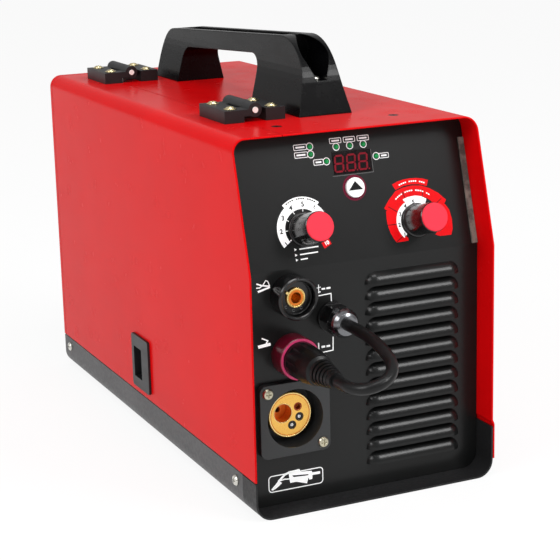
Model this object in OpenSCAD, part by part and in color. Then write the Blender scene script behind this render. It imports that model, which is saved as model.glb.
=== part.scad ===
// MIG welding machine: sheet steel casing with a hinged side door, a raked control panel,
// front sockets with a polarity lead, a wire feeder bay and a carry handle.
// Millimetres. X runs to the right seen from the front, Y to the rear, Z up.
// The origin is the middle of the underside of the base tray.

/* [Casing] */
// Width over the side sheets
body_w = 229; // [220:1:240]
// Length from the front edge to the rear edge
body_l = 510; // [500:1:560]
// Height of the casing without the handle
body_h = 315; // [310:1:330]
// Sheet steel thickness
sheet_t = 1.5; // [1.2:0.1:1.8]
// Outer radius of the top side bends
top_bend_r = 12; // [8:1:16]
// Outer radius of the base side bends
base_bend_r = 15; // [8:1:18]
// Height of the base tray's side skirts
skirt_h = 34.5; // [31:0.5:38]
// Height of the crease where the front edge starts to rake back
crease_h = 208; // [206:1:212]
// How far the front edge rakes back at the top
rake_d = 30; // [25:1:35]
// Depth of the front panel behind the front edge
recess_d = 25; // [22:1:30]
// Width of the panel's folded edges
fold_w = 22; // [20:1:26]
// Outward step of the cover's lower flange
flange_step = 1.7; // [1.6:0.1:2.2]
// Height at which the cover's lower flange ends
flange_low_h = 16; // [15:1:20]
// Depth of the rear panel inside the rear edge
rear_inset = 4; // [3:0.5:6]
// Gap between sheets that lie beside each other
sheet_gap = 0.3; // [0.2:0.05:0.4]

/* [Door] */
// Distance of the door seam inwards from the door's side
seam_in = 45.5; // [43:0.5:47]
// Gap between the door and the skirt below it
door_gap = 1.2; // [0.8:0.1:1.6]
// Width of the fixed strip behind the door
rear_strip_w = 6; // [4:1:8]

/* [Hinges] */
// Distance of the hinge pins inwards from the door seam
hinge_pin_in = 9.5; // [8.5:0.5:10]
// Height of the pin axis above the casing
hinge_pin_h = 10; // [9.5:0.5:11]
// Height of the hinge leaves
leaf_h = 11; // [10:0.5:12]
// Width of each hinge leaf
leaf_w = 18; // [16:0.5:19]
// Length of each hinge
hinge_len = 56; // [50:1:60]
// Gap between the pin axis and the leaf block beside it
leaf_clear = 10; // [9.8:0.1:10.5]
// Radius of the hinge knuckles
knuckle_r = 6.2; // [5.5:0.1:6.5]
// Radius of the hinge pins
hinge_pin_r = 2; // [1.8:0.1:3]
// Length of the middle knuckle
mid_knuckle_l = 26; // [20:1:30]
// Distance of the front hinge's middle from the front edge
hinge_front_d = 132; // [128:1:140]
// Distance of the rear hinge's middle from the front edge
hinge_rear_d = 437; // [425:1:440]

/* [Latch] */
// Distance of the latch's middle from the front edge
latch_d = 262; // [240:1:280]
// Height of the latch's middle
latch_z = 67; // [64:1:75]
// Width of the latch frame
latch_w = 44; // [42:1:48]
// Height of the latch frame
latch_h = 52; // [50:1:56]
// How far the latch frame stands out of the door
latch_t = 2.4; // [2:0.1:3]
// Width of the latch's finger pocket
pocket_w = 20; // [18:1:22]
// Height of the latch's finger pocket
pocket_h = 30; // [28:1:32]
// Travel of the latch slider down to its locked place
latch_travel = 5; // [4:0.5:6]

/* [Handle] */
// Distance of the handle's front from the front edge
handle_d = 102; // [98:1:110]
// Distance of the handle's middle to the right of the centre plane
handle_x = 6; // [0:0.5:8]
// Length of the handle at its feet
handle_l = 343; // [335:1:350]
// Height of the handle at its front
handle_front_h = 68; // [64:1:74]
// Height of the handle at its rear
handle_rear_h = 49; // [46:1:54]
// Width of the handle at its feet
handle_foot_w = 51; // [46:1:52]
// Width of the grip
grip_w = 30; // [28:1:32]
// Thickness of the grip at its front
grip_t = 17.5; // [16:0.5:21]
// Length of the front foot
front_foot_l = 102; // [90:1:108]
// Length of the rear foot
rear_foot_l = 59; // [54:1:72]
// Radius of the round hole in the handle's front
keyhole_r = 13; // [11:0.5:13.5]

/* [Panel fittings] */
// Distance of the socket column inwards from the front panel's left edge
socket_in = 44.4; // [42:0.1:47]
// Height of the upper weld socket
upper_socket_z = 183; // [178:1:184]
// Height of the lower weld socket
lower_socket_z = 132; // [130:1:134]
// Radius of the weld sockets' collars
socket_r = 18; // [17:0.5:19]
// How far the weld sockets stand out of the panel
socket_h = 18; // [16:0.5:20]
// Bore radius of the weld sockets
socket_bore_r = 4.6; // [4.3:0.1:5]
// Distance of the lead gland to the right of the socket column
gland_dx = 38; // [34:0.5:39]
// Height of the lead gland
gland_z = 159; // [156:1:160]
// Height of the torch socket
torch_z = 77.5; // [75:0.5:80]
// Width of the torch socket's square flange
torch_flange_w = 64; // [62:1:66]
// Radius of the torch socket's mouth
torch_mouth_r = 25.5; // [24.5:0.5:26.5]
// Radius of the torch socket's brass body
torch_body_r = 19.5; // [19:0.5:20]
// Bore radius for the torch's wire nozzle
torch_bore_r = 8; // [6.8:0.1:8.2]
// Number of louvers
louver_count = 13; // [10:1:13]
// Height of the lowest louver
louver_low_z = 22.8; // [20:0.1:28]
// Spacing of the louvers
louver_pitch = 13.3; // [13:0.1:13.5]
// Length of each louver
louver_l = 91; // [80:1:94]
// Height of each louver's hood
louver_h = 10.3; // [9:0.1:10.6]
// How far the louvers stand out
louver_out = 7; // [5:0.5:8]

/* [Control panel] */
// Distance of the wire speed knob from the centre plane
speed_knob_x = 49.5; // [44:0.5:52]
// Distance of the voltage knob from the centre plane
volt_knob_x = 56; // [52:0.5:64]
// Height of the wire speed knob up the raked panel from its crease
speed_knob_s = 30.5; // [26:0.5:33]
// Height of the voltage knob up the raked panel from its crease
volt_knob_s = 26.5; // [24:0.5:31]
// Radius of the knob caps
knob_cap_r = 12; // [11:0.2:13.4]
// Height of the knobs above the panel
knob_h = 32; // [26:1:34]
// Width of the display window
display_w = 36; // [32:1:38]
// Height of the display window
display_h = 19; // [17:1:20]
// Distance of the display's middle down from the raked panel's top
display_down = 31.1; // [29:0.1:33]
// Radius of the mode button
button_r = 8.4; // [8:0.2:9]
// Distance of the mode button below the display's middle
button_down = 21.7; // [20:0.1:23]
// Travel of the mode button
button_travel = 1.5; // [1:0.1:2]
// Radius of the status lamps
lamp_r = 2; // [1.5:0.1:2.4]

/* [Wire bay] */
// Distance of the dividing wall from the centre plane
divider_x = 18; // [16:1:20]
// Distance of the drive roll from the front edge
roll_d = 124; // [118:1:130]
// Radius of the drive roll
drive_roll_r = 15; // [13:0.5:16]
// Radius of the pressure roll
pressure_roll_r = 11; // [10:0.5:12]
// Radius of the spool hub
hub_r = 25; // [22:0.5:25.5]
// Length of the spool hub
hub_l = 58; // [52:1:60]
// Distance of the spool hub from the front edge
hub_d = 345; // [340:1:350]
// Height of the spool hub
hub_z = 172; // [168:1:176]
// Largest wire spool radius
spool_r = 100; // [90:1:102]

/* [Rear fittings] */
// Side of the square fan frame
fan_w = 92; // [84:1:92]
// Depth of the fan frame
fan_t = 25; // [20:1:30]
// Distance of the fan's middle inwards from the rear panel's right edge
fan_in = 59.2; // [54:0.2:62]
// Height of the fan's middle
fan_z = 130; // [120:1:140]
// Height of the power switch
switch_z = 262; // [255:1:266]
// Bore radius of the mains cable gland
mains_bore_r = 5.2; // [4.5:0.1:6]

/* [Hidden] */
$fn = 64;

casing_red = [0.78, 0.04, 0.05];
panel_black = [0.13, 0.13, 0.14];
tray_grey = [0.2, 0.2, 0.21];
plastic_black = [0.06, 0.06, 0.07];
cap_red = [0.88, 0.2, 0.33];
socket_red = [0.55, 0.06, 0.2];
brass = [0.85, 0.62, 0.25];
zinc = [0.75, 0.75, 0.73];
copper = [0.75, 0.4, 0.22];
board_green = [0.05, 0.3, 0.14];
aluminium = [0.7, 0.71, 0.73];

eps = 0.01;
half_w = body_w / 2;
front_y = -body_l / 2;
rear_y = body_l / 2;
rake_a = atan(rake_d / (body_h - crease_h));
panel_y = front_y + recess_d;
panel_crease_z = crease_h - recess_d * tan(rake_a / 2);
panel_top_z = body_h - sheet_t - sheet_gap;
rake_len = (panel_top_z - panel_crease_z) / cos(rake_a);

// The tray lies inside the cover's stepped flange on the right, and just inside the door's face
// on the left
tray_left_x = -half_w + sheet_gap;
side_right_x = half_w - flange_step;
tray_in_left_x = tray_left_x + sheet_t;
tray_in_right_x = side_right_x - sheet_t;
door_low_z = skirt_h;
left_skirt_h = skirt_h - door_gap;
step_top_h = skirt_h + 17;
step_low_h = step_top_h - 4;
right_skirt_h = step_low_h - 2;
panel_left_x = tray_in_left_x + sheet_gap;
panel_right_x = tray_in_right_x - sheet_gap / 3;
seam_half_gap = 0.4;
fold_top_y = front_edge(recess_d, panel_top_z - sheet_t)[2][0] + sheet_t / 2;
rear_panel_y = rear_y - rear_inset - sheet_t;

seam_x = half_w - seam_in;
pin_x = -seam_x + hinge_pin_in;
pin_z = body_h + hinge_pin_h;
hinge_ys = [front_y + hinge_front_d, front_y + hinge_rear_d];
hinge_screw_in = 9;
hinge_screw_dy = hinge_len / 2 - 9;
hinge_screw_r = 2.2;
small_screw_r = 2;
hole_clear = 0.1;
running_clear = 0.05;

latch_y = front_y + latch_d;
slider_w = 30;
slider_top_z = latch_z + latch_h / 2 - 1 - latch_travel;
slider_low_z = door_low_z - 0.9;
slider_x = -half_w + 4.6;
slider_t = 1.6;
pocket_dy = latch_w / 2 - 6 - pocket_w / 2;
pocket_dz = -1;

handle_y = front_y + handle_d;
handle_slope = (handle_front_h - handle_rear_h) / handle_l;
cover_screw_x = 55;
cover_screw_y = front_y + 71;
skirt_screw_ys = [front_y + 41, rear_y - 19];
skirt_screw_z = 24;
handle_screw_ys = [handle_y + 20, handle_y + handle_l - 46];
keyhole_z = handle_front_h - 15.5;
keyhole_floor = 29;
keyhole_depth = 58;

socket_x = -panel_left_x - socket_in;
gland_x = socket_x - gland_dx;
insert_back_l = 34;
torch_x = -socket_x;
torch_flange_t = 6;
torch_face_in = 5;
wire_dx = -6.6;
wire_dz = 2.3;
wire_x = torch_x + wire_dx;
wire_z = torch_z + wire_dz;
torch_screw_d = torch_flange_w / 2 - 7;
torch_body_l = 35;
gas_hole = [7.3, 6.1];
pin_places = [[8.6, -2.9], [1.7, -9.3]];
insert_r = 8.3;
insert_face = socket_h - 6;
socket_cup_r = socket_r - 3;
gland_h = 30;
plug_l = 66;
louver_x = panel_right_x - 64.4;
board_depth = 14;
display_x = 2.6;
display_s = rake_len - display_down;
button_x = 1.5;
button_s = display_s - button_down;
knob_places = [[-speed_knob_x, speed_knob_s], [volt_knob_x, volt_knob_s]];
// Places of the status lamps from the display's middle: across, and up the raked panel
lamp_places = [
    [-37.1, 16.3], [-37.1, 9.8], [-23.6, 2.6], [-13, 13.8], [-0.3, 13.8], [12.4, 13.8], [23, 2.6]
];

divider_left_x = -divider_x;
divider_right_x = divider_left_x + sheet_t;
roll_y = front_y + roll_d;
roll_w = 12;
wire_gap = 0.4;
drive_roll_z = wire_z - drive_roll_r - wire_gap;
pressure_roll_z = wire_z + pressure_roll_r + wire_gap;
plate_t = 8;
plate_left_x = wire_x + roll_w / 2 + 10;
plate_right_x = plate_left_x + plate_t;
plate_low_z = drive_roll_z - 34;
plate_h = 68;
plate_l = 96;
arm_pivot_y = roll_y + 30;
arm_pivot_z = pressure_roll_z + 2;
arm_left_x = plate_left_x - 8.5;
arm_right_x = plate_left_x - 0.5;
lever_x = (arm_left_x + arm_right_x) / 2;
lever_y = roll_y - 28;
lever_pivot_z = wire_z - 8;
roll_shaft_r = 4;
hub_y = front_y + hub_d;
hub_bore_r = 6;
board_z = 28;
board_x0 = divider_right_x + 20.5;
board_w = tray_in_right_x - 9.3 - board_x0;
board_y0 = front_y + 105;
board_l = body_l - 240;
sink_l = (board_l - 86) / 2;
transformer_dy = board_l - 82;
capacitor_dy = 34;
capacitor_count = floor((transformer_dy - 120) / capacitor_dy) + 1;
board_t = 1.6;
stud_inset = 8;
fan_x = panel_right_x - fan_in;
fan_y = rear_panel_y - fan_t;
fan_rotor_r = fan_w / 2 - 5;
switch_x = fan_x;
switch_w = 21;
switch_h = 28;
mains_x = switch_x - 42;
mains_z = switch_z;
gas_x = panel_left_x + 50.4;
gas_z = 60;
gas_spigot_r = 4.5;
rocker_tilt = 12;
stud_x = board_x0;
stud_z = 56;

// Route of the polarity lead from the plug's tail to the gland's nut
lead_r = 5;
lead_from = [-socket_x, panel_y - socket_h - plug_l, lower_socket_z];
lead_to = [-gland_x, panel_y - gland_h, gland_z];
lead_route = [
    lead_from, lead_from + [0.5, -19, 0], lead_from + [8, -32, 1.5], lead_from + [20, -36, 5],
    lead_to + [-6.5, -85, -17], lead_to + [0, -72, -11], lead_to + [1, -54, -5],
    lead_to + [0.5, -33, -1], lead_to + [0, -12, 0], lead_to
];

// ---------------------------------------------------------------- helpers

// Extrudes an outline drawn in Y and Z along X from x0 to x1
module yz_prism(x0, x1) {
    translate([x0, 0, 0]) rotate([90, 0, 90]) linear_extrude(x1 - x0) children();
}

// Extrudes an outline drawn in X and Z along Y from y0 to y1
module xz_prism(y0, y1) {
    translate([0, y1, 0]) rotate([90, 0, 0]) linear_extrude(y1 - y0) children();
}

// Box between two corners
module box(low, high) {
    translate(low) cube(high - low);
}

// Cylinder along X from x0 to x1
module x_rod(x0, x1, y, z, r) {
    translate([x0, y, z]) rotate([0, 90, 0]) cylinder(h = x1 - x0, r = r);
}

// Cylinder along Y from y0 to y1
module y_rod(y0, y1, x, z, r) {
    translate([x, y1, z]) rotate([90, 0, 0]) cylinder(h = y1 - y0, r = r);
}

// Places children on the lower front panel: x across, y up from the base, z outwards
module on_front() {
    translate([0, panel_y, 0]) rotate([90, 0, 0]) children();
}

// Places children on the raked panel: x across, y up the slope from the crease, z outwards
module on_rake() {
    translate([0, panel_y, panel_crease_z]) rotate([90 - rake_a, 0, 0]) children();
}

// Places children on the rear panel: x across, y up from the base, z outwards to the rear
module on_rear() {
    translate([0, rear_panel_y + sheet_t, 0]) rotate([90, 0, 0]) mirror([0, 0, 1]) children();
}

// Arc that rounds the corner b between a and c with radius r
function corner_arc(a, b, c, r, steps) =
    r <= 0 ? [b] :
    let (
        u = (a - b) / norm(a - b),
        v = (c - b) / norm(c - b),
        half = acos(u * v) / 2,
        mid = (u + v) / norm(u + v),
        centre = b + mid * r / sin(half),
        p = b + u * r / tan(half) - centre,
        q = b + v * r / tan(half) - centre,
        turn = 180 - 2 * half
    )
    [for (i = [0:steps])
        centre + (p * sin(turn * (1 - i / steps)) + q * sin(turn * i / steps)) / sin(turn)];

// Outline through [x, y, radius] corners, each rounded with its radius
function rounded(corners, steps = 8) =
    let (n = len(corners), xy = [for (c = corners) [c[0], c[1]]])
    [for (i = [0:n - 1])
        each corner_arc(xy[(i + n - 1) % n], xy[i], xy[(i + 1) % n], corners[i][2], steps)];

// Rectangle about the origin with rounded corners
function round_rect(w, h, r) =
    rounded([[w / 2, h / 2, r], [-w / 2, h / 2, r], [-w / 2, -h / 2, r], [w / 2, -h / 2, r]], 5);

// Points of the casing's front edge, moved inwards by d, from the base up to height top
function front_edge(d, top) =
    let (z = crease_h - d * tan(rake_a / 2))
    [[front_y + d, 0], [front_y + d, z], [front_y + d + (top - z) * tan(rake_a), top]];

// Side outline of the casing
module side_outline() {
    polygon(concat(front_edge(0, body_h), [[rear_y, body_h], [rear_y, 0]]));
}

// Band between two distances behind the casing's front edge
module front_band(d0, d1, top) {
    inner = front_edge(d1, top);
    polygon(concat(front_edge(d0, top), [for (i = [len(inner) - 1:-1:0]) inner[i]]));
}

// Section of a box with one radius for its lower corners and one for its upper corners
module box_section(x0, x1, z0, z1, low_r, top_r) {
    middle = (z0 + z1) / 2;
    translate([x0, z0 + low_r]) square([x1 - x0, z1 - z0 - low_r - top_r]);
    translate([x0 + low_r, z0]) square([x1 - x0 - 2 * low_r, middle - z0]);
    translate([x0 + top_r, middle]) square([x1 - x0 - 2 * top_r, z1 - middle]);
    for (x = [x0 + low_r, x1 - low_r]) translate([x, z0 + low_r]) circle(low_r);
    for (x = [x0 + top_r, x1 - top_r]) translate([x, z1 - top_r]) circle(top_r);
}

// Section of one sheet bent round all four sides
module ring_section(x0, x1) {
    difference() {
        box_section(x0, x1, 0, body_h, base_bend_r, top_bend_r);
        box_section(x0 + sheet_t, x1 - sheet_t, sheet_t, body_h - sheet_t,
            base_bend_r - sheet_t, top_bend_r - sheet_t);
    }
}

// Pan head screw with a cross recess, its head's underside at z = 0 and its shank downwards
module pan_screw(head_r, shank_r, shank_l) {
    head_h = head_r * 0.55;
    difference() {
        union() {
            rotate_extrude() polygon([
                [0, 0], [head_r, 0], [head_r, head_h * 0.35], [head_r * 0.82, head_h * 0.8],
                [head_r * 0.45, head_h], [0, head_h]
            ]);
            translate([0, 0, -shank_l]) cylinder(h = shank_l + eps, r = shank_r);
        }
        for (turn = [0, 90])
            rotate([0, 0, turn]) translate([-head_r * 0.55, -head_r * 0.1, head_h * 0.45])
                cube([head_r * 1.1, head_r * 0.2, head_h]);
    }
}

// Places children at each cover screw, with z up
module at_cover_screws() {
    for (x = [-cover_screw_x, cover_screw_x]) translate([x, cover_screw_y, body_h]) children();
}

// Places children at each handle screw, with z up
module at_handle_screws() {
    for (y = handle_screw_ys) translate([handle_x, y, body_h]) children();
}

// Places children at the screws of the hinge leaves on one side of the pins, with z up
module at_hinge_screws(side) {
    for (y = hinge_ys, dy = [-hinge_screw_dy, hinge_screw_dy])
        translate([pin_x + side * (leaf_clear + hinge_screw_in), y + dy, body_h + leaf_h]) children();
}

// Places children at the torch flange's two screws, on the lower front panel
module at_torch_screws() {
    for (side = [-1, 1])
        translate([torch_x + side * torch_screw_d, torch_z - side * torch_screw_d, 0]) children();
}

// Places children at the skirt screws of one side, with z outwards
module at_skirt_screws(side) {
    face_x = side < 0 ? tray_left_x : half_w;
    for (y = skirt_screw_ys)
        translate([face_x, y, skirt_screw_z]) rotate([0, 90 * (side < 0 ? -1 : 1), 0]) children();
}

// ---------------------------------------------------------------- casing

module base_tray() {
    color(tray_grey)
    difference() {
        union() {
            xz_prism(front_y, rear_y) intersection() {
                ring_section(tray_left_x, side_right_x);
                union() {
                    translate([-body_w, 0]) square([body_w, left_skirt_h]);
                    square([body_w, right_skirt_h]);
                }
            }
            // Welded studs that carry the power board
            for (x = [board_x0 + stud_inset, board_x0 + board_w - stud_inset])
                for (y = [board_y0 + stud_inset, board_y0 + board_l - stud_inset])
                    translate([x, y, sheet_t - eps]) cylinder(h = board_z - sheet_t + eps, r = 3);
        }
        for (side = [-1, 1]) at_skirt_screws(side)
            translate([0, 0, -8]) cylinder(h = 16, r = small_screw_r + hole_clear);
    }
}

module cover_section() {
    intersection() {
        ring_section(-half_w, side_right_x);
        translate([-seam_x + seam_half_gap, step_top_h]) square([body_w, body_h]);
    }
    // Step and lower flange that lies over the tray's skirt
    polygon([
        [tray_in_right_x, step_top_h + eps], [side_right_x, step_top_h + eps],
        [half_w, step_low_h], [half_w, flange_low_h],
        [half_w - sheet_t + 0.2 * sheet_gap, flange_low_h],
        [half_w - sheet_t + 0.2 * sheet_gap, step_low_h], [tray_in_right_x, step_top_h - 1]
    ]);
}

module cover() {
    color(casing_red)
    difference() {
        union() {
            intersection() {
                xz_prism(front_y, rear_y) cover_section();
                yz_prism(-body_w, body_w) side_outline();
            }
            // Narrow strip behind the door
            xz_prism(rear_y - rear_strip_w, rear_y) intersection() {
                ring_section(-half_w, side_right_x);
                translate([-body_w, door_low_z]) square([body_w, body_h]);
            }
        }
        at_cover_screws() {
            translate([0, 0, -sheet_t - 1]) cylinder(h = 3, r = small_screw_r + hole_clear);
            translate([0, 0, -sheet_t + 0.1])
                cylinder(h = sheet_t, r1 = small_screw_r + 1.2, r2 = small_screw_r + 2.8);
        }
        at_handle_screws() translate([0, 0, -5]) cylinder(h = 8, r = small_screw_r + hole_clear);
        at_hinge_screws(1) translate([0, 0, -leaf_h - 4]) cylinder(h = 8, r = hinge_screw_r + hole_clear);
        at_skirt_screws(1) translate([0, 0, -4]) cylinder(h = 8, r = small_screw_r + hole_clear);
    }
}

module door() {
    color(casing_red)
    difference() {
        intersection() {
            xz_prism(front_y, rear_y - rear_strip_w - 2 * seam_half_gap) intersection() {
                ring_section(-half_w, side_right_x);
                translate([-body_w, door_low_z]) square([body_w - seam_x - seam_half_gap, body_h]);
            }
            yz_prism(-body_w, body_w) side_outline();
        }
        at_hinge_screws(-1) translate([0, 0, -leaf_h - 4])
            cylinder(h = 8, r = hinge_screw_r + hole_clear);
        // Cut-out that holds the latch
        box([-half_w - 1, latch_y - latch_w / 2 + 4, latch_z - latch_h / 2 + 4],
            [-half_w + 6, latch_y + latch_w / 2 - 4, latch_z + latch_h / 2 - 4]);
    }
}

// One louver hood with its rounded ends, at the origin, its open edge along z = 0; r is its ball radius
module louver_solid(r, sink) {
    reach = louver_l / 2 - louver_h;
    for (x = [-reach, reach]) translate([x, 0, 0]) translate([0, sink, 0]) sphere(r);
    translate([0, sink, 0]) x_rod(-reach, reach, 0, 0, r);
}

module louver_hoods() {
    ball_r = (louver_h * louver_h + louver_out * louver_out) / (2 * louver_out);
    sink = ball_r - louver_out;
    wall = 1.2;
    difference() {
        louver_solid(ball_r, sink);
        louver_solid(ball_r - wall, sink);
        box([-louver_l, -louver_out * 2, -2 * ball_r], [louver_l, 4 * ball_r, 0]);
        box([-louver_l, sheet_t, -2 * ball_r], [louver_l, 4 * ball_r, 2 * ball_r]);
    }
}

module front_panel() {
    slot_l = louver_l - 2 * louver_h;
    color(panel_black)
    difference() {
        union() {
            intersection() {
                yz_prism(panel_left_x, panel_right_x)
                    front_band(recess_d, recess_d + sheet_t, panel_top_z);
                xz_prism(front_y, rear_y) box_section(panel_left_x, panel_right_x, sheet_t,
                    panel_top_z, base_bend_r - sheet_t, top_bend_r - sheet_t);
            }
            // Folded side edges
            for (x = [panel_left_x, panel_right_x - sheet_t])
                intersection() {
                    yz_prism(x, x + sheet_t) front_band(recess_d, recess_d + fold_w, panel_top_z);
                    box([-body_w, front_y, base_bend_r], [body_w, rear_y, body_h - top_bend_r]);
                }
            // Folded top edge under the cover
            box([-seam_x, fold_top_y, panel_top_z - sheet_t],
                [panel_right_x - top_bend_r, cover_screw_y + 12, panel_top_z]);
            for (i = [0:louver_count - 1])
                translate([louver_x, panel_y, louver_low_z + i * louver_pitch]) louver_hoods();
        }
        for (i = [0:louver_count - 1])
            translate([louver_x, panel_y, louver_low_z + i * louver_pitch])
                box([-slot_l / 2, -1, 0.6], [slot_l / 2, sheet_t + 1, louver_h * 0.55]);
        at_cover_screws() translate([0, 0, -8]) cylinder(h = 10, r = small_screw_r + hole_clear);
        for (side = [-1, 1]) at_skirt_screws(side)
            translate([0, 0, -8]) cylinder(h = 8, r = small_screw_r + hole_clear);
        on_front() translate([0, 0, -2 * sheet_t]) {
            translate([-socket_x, upper_socket_z, 0]) cylinder(h = 8, r = socket_cup_r - 1 + hole_clear);
            translate([-socket_x, lower_socket_z, 0]) cylinder(h = 8, r = socket_cup_r - 1 + hole_clear);
            translate([-gland_x, gland_z, 0]) cylinder(h = 8, r = 8 + hole_clear);
            translate([torch_x, torch_z, 0]) cylinder(h = 8, r = torch_mouth_r + 1.5 + hole_clear);
            at_torch_screws() cylinder(h = 8, r = small_screw_r + hole_clear);
        }
        on_rake() translate([0, 0, -2 * sheet_t]) {
            for (p = knob_places) translate([p[0], p[1], 0]) cylinder(h = 8, r = 4 + hole_clear);
            translate([button_x, button_s, 0]) cylinder(h = 8, r = button_r + 0.25);
            translate([display_x, display_s, 0]) {
                translate([-display_w / 2, -display_h / 2, 0]) cube([display_w, display_h, 8]);
                for (p = lamp_places) translate([p[0], p[1], 0])
                    cylinder(h = 8, r = lamp_r + running_clear);
            }
        }
    }
}

module rear_panel() {
    color(tray_grey)
    difference() {
        union() {
            xz_prism(rear_panel_y, rear_panel_y + sheet_t)
                box_section(panel_left_x, panel_right_x, sheet_t, panel_top_z,
                    base_bend_r - sheet_t, top_bend_r - sheet_t);
            // Folded side edges
            for (x = [panel_left_x, panel_right_x - sheet_t])
                box([x, rear_panel_y - fold_w + sheet_t, base_bend_r],
                    [x + sheet_t, rear_panel_y + eps, body_h - top_bend_r]);
        }
        for (side = [-1, 1]) at_skirt_screws(side)
            translate([0, 0, -8]) cylinder(h = 8, r = small_screw_r + hole_clear);
        on_rear() translate([0, 0, -2 * sheet_t]) {
            // Fan grille
            for (dz = [-4:4])
                translate([fan_x, fan_z + dz * 9, 0]) {
                    reach = sqrt(pow(fan_rotor_r, 2) - pow(dz * 9, 2));
                    translate([-reach, -1.8, 0]) cube([2 * reach, 3.6, 8]);
                }
            for (dx = [-1, 1], dz = [-1, 1])
                translate([fan_x + dx * (fan_w / 2 - 5), fan_z + dz * (fan_w / 2 - 5), 0])
                    cylinder(h = 8, r = 2);
            translate([switch_x - switch_w / 2 - hole_clear, switch_z - switch_h / 2 - hole_clear, 0])
                cube([switch_w + 2 * hole_clear, switch_h + 2 * hole_clear, 8]);
            translate([mains_x, mains_z, 0]) cylinder(h = 8, r = 9 + hole_clear);
            translate([gas_x, gas_z, 0]) cylinder(h = 8, r = 5 + hole_clear);
            translate([stud_x, stud_z, 0]) cylinder(h = 8, r = 3 + hole_clear);
        }
    }
}

// Dividing wall between the wire bay and the power bay
module divider() {
    color(zinc)
    difference() {
        union() {
            intersection() {
                yz_prism(divider_left_x, divider_right_x) polygon(concat(
                    front_edge(recess_d + 48, panel_top_z - sheet_t),
                    [[rear_panel_y, panel_top_z - sheet_t], [rear_panel_y, 0]]));
                box([-body_w, front_y, sheet_t], [body_w, rear_y, body_h]);
            }
            box([divider_left_x, front_y + recess_d + 48, sheet_t],
                [divider_right_x + 12, rear_panel_y, 2 * sheet_t]);
        }
        // Window for the feeder's gearbox and hole for the spool spindle
        box([-body_w, roll_y - 26, drive_roll_z - 26], [body_w, roll_y + 26, drive_roll_z + 26]);
        x_rod(divider_left_x - 1, divider_right_x + 1, hub_y, hub_z, hub_bore_r + hole_clear);
    }
}

// ---------------------------------------------------------------- fasteners of the casing

module cover_screws() {
    color([0.1, 0.1, 0.1])
    at_cover_screws() difference() {
        union() {
            translate([0, 0, -8]) cylinder(h = 8 - sheet_t + 0.15, r = small_screw_r);
            translate([0, 0, -sheet_t + 0.15])
                cylinder(h = sheet_t - 0.2, r1 = small_screw_r + 1, r2 = small_screw_r + 2.5);
        }
        translate([0, 0, -0.9]) cylinder(h = 2, r = 1.3, $fn = 6);
    }
}

module skirt_screws() {
    color(zinc)
    for (side = [-1, 1]) at_skirt_screws(side) pan_screw(4.8, small_screw_r, 8);
}

module handle_screws() {
    color(zinc)
    at_handle_screws() translate([0, 0, keyhole_floor]) pan_screw(4.6, small_screw_r, keyhole_floor + 4);
}

module cover_hinge_screws() {
    color(zinc) at_hinge_screws(1) pan_screw(4.2, hinge_screw_r, leaf_h + 4);
}

module door_hinge_screws() {
    color(zinc) at_hinge_screws(-1) pan_screw(4.2, hinge_screw_r, leaf_h + 4);
}

// ---------------------------------------------------------------- hinges

// Leaves of both hinges on one side of the pins: the door's side is -1, the cover's side is 1
module hinge_leaves(side) {
    knuckle_gap = 0.3;
    spans = side > 0 ?
        [[-mid_knuckle_l / 2, mid_knuckle_l / 2]] :
        [[-hinge_len / 2, -mid_knuckle_l / 2 - knuckle_gap],
            [mid_knuckle_l / 2 + knuckle_gap, hinge_len / 2]];
    near = side * leaf_clear;
    far = side * (leaf_clear + leaf_w);
    difference() {
        for (y = hinge_ys) translate([pin_x, y, 0]) {
            box([min(near, far), -hinge_len / 2, body_h],
                [max(near, far), hinge_len / 2, body_h + leaf_h]);
            for (span = spans) {
                y_rod(span[0], span[1], 0, pin_z, knuckle_r);
                box([min(0, near + side * eps), span[0], pin_z - 5],
                    [max(0, near + side * eps), span[1], body_h + leaf_h]);
            }
        }
        for (y = hinge_ys) y_rod(y - hinge_len, y + hinge_len, pin_x, pin_z, hinge_pin_r + running_clear);
        at_hinge_screws(side) translate([0, 0, -leaf_h - 1])
            cylinder(h = leaf_h + 2, r = hinge_screw_r + hole_clear);
    }
}

module cover_hinge_leaves() {
    color(plastic_black) hinge_leaves(1);
}

module door_hinge_leaves() {
    color(plastic_black) hinge_leaves(-1);
}

module hinge_pins() {
    color([0.9, 0.9, 0.88])
    for (y = hinge_ys) {
        y_rod(y - hinge_len / 2 - 0.4, y + hinge_len / 2 + 0.4, pin_x, pin_z, hinge_pin_r);
        for (end = [-1, 1])
            y_rod(y + end * (hinge_len / 2 + 0.6) - 0.4, y + end * (hinge_len / 2 + 0.6) + 0.4,
                pin_x, pin_z, hinge_pin_r + 0.6);
    }
}

// ---------------------------------------------------------------- latch

// Places an outline about the latch's middle and extrudes it along X
module at_latch(x0, x1) {
    translate([0, latch_y, latch_z]) yz_prism(x0, x1) children();
}

module pocket_outline() {
    translate([pocket_dy, pocket_dz]) square([pocket_w, pocket_h], center = true);
}

module latch_frame() {
    collar_w = latch_w - 8 - 2 * hole_clear;
    collar_h = latch_h - 8 - 2 * hole_clear;
    rail_x = slider_x + slider_t + 0.3;
    color(panel_black)
    difference() {
        union() {
            at_latch(-half_w - latch_t, -half_w) polygon(round_rect(latch_w, latch_h, 3));
            at_latch(-half_w - eps, slider_x - 0.2) square([collar_w, collar_h], center = true);
            // Rails that hold the slider
            for (side = [-1, 1]) at_latch(-half_w, rail_x + 1.4)
                translate([side * (slider_w / 2 + 1.6), 0]) square([2.6, collar_h], center = true);
            for (side = [-1, 1]) at_latch(rail_x, rail_x + 1.4)
                translate([side * (slider_w / 2 + 0.2), 0]) square([5, collar_h], center = true);
        }
        at_latch(-half_w - 2 * latch_t, slider_x) pocket_outline();
    }
}

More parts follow.
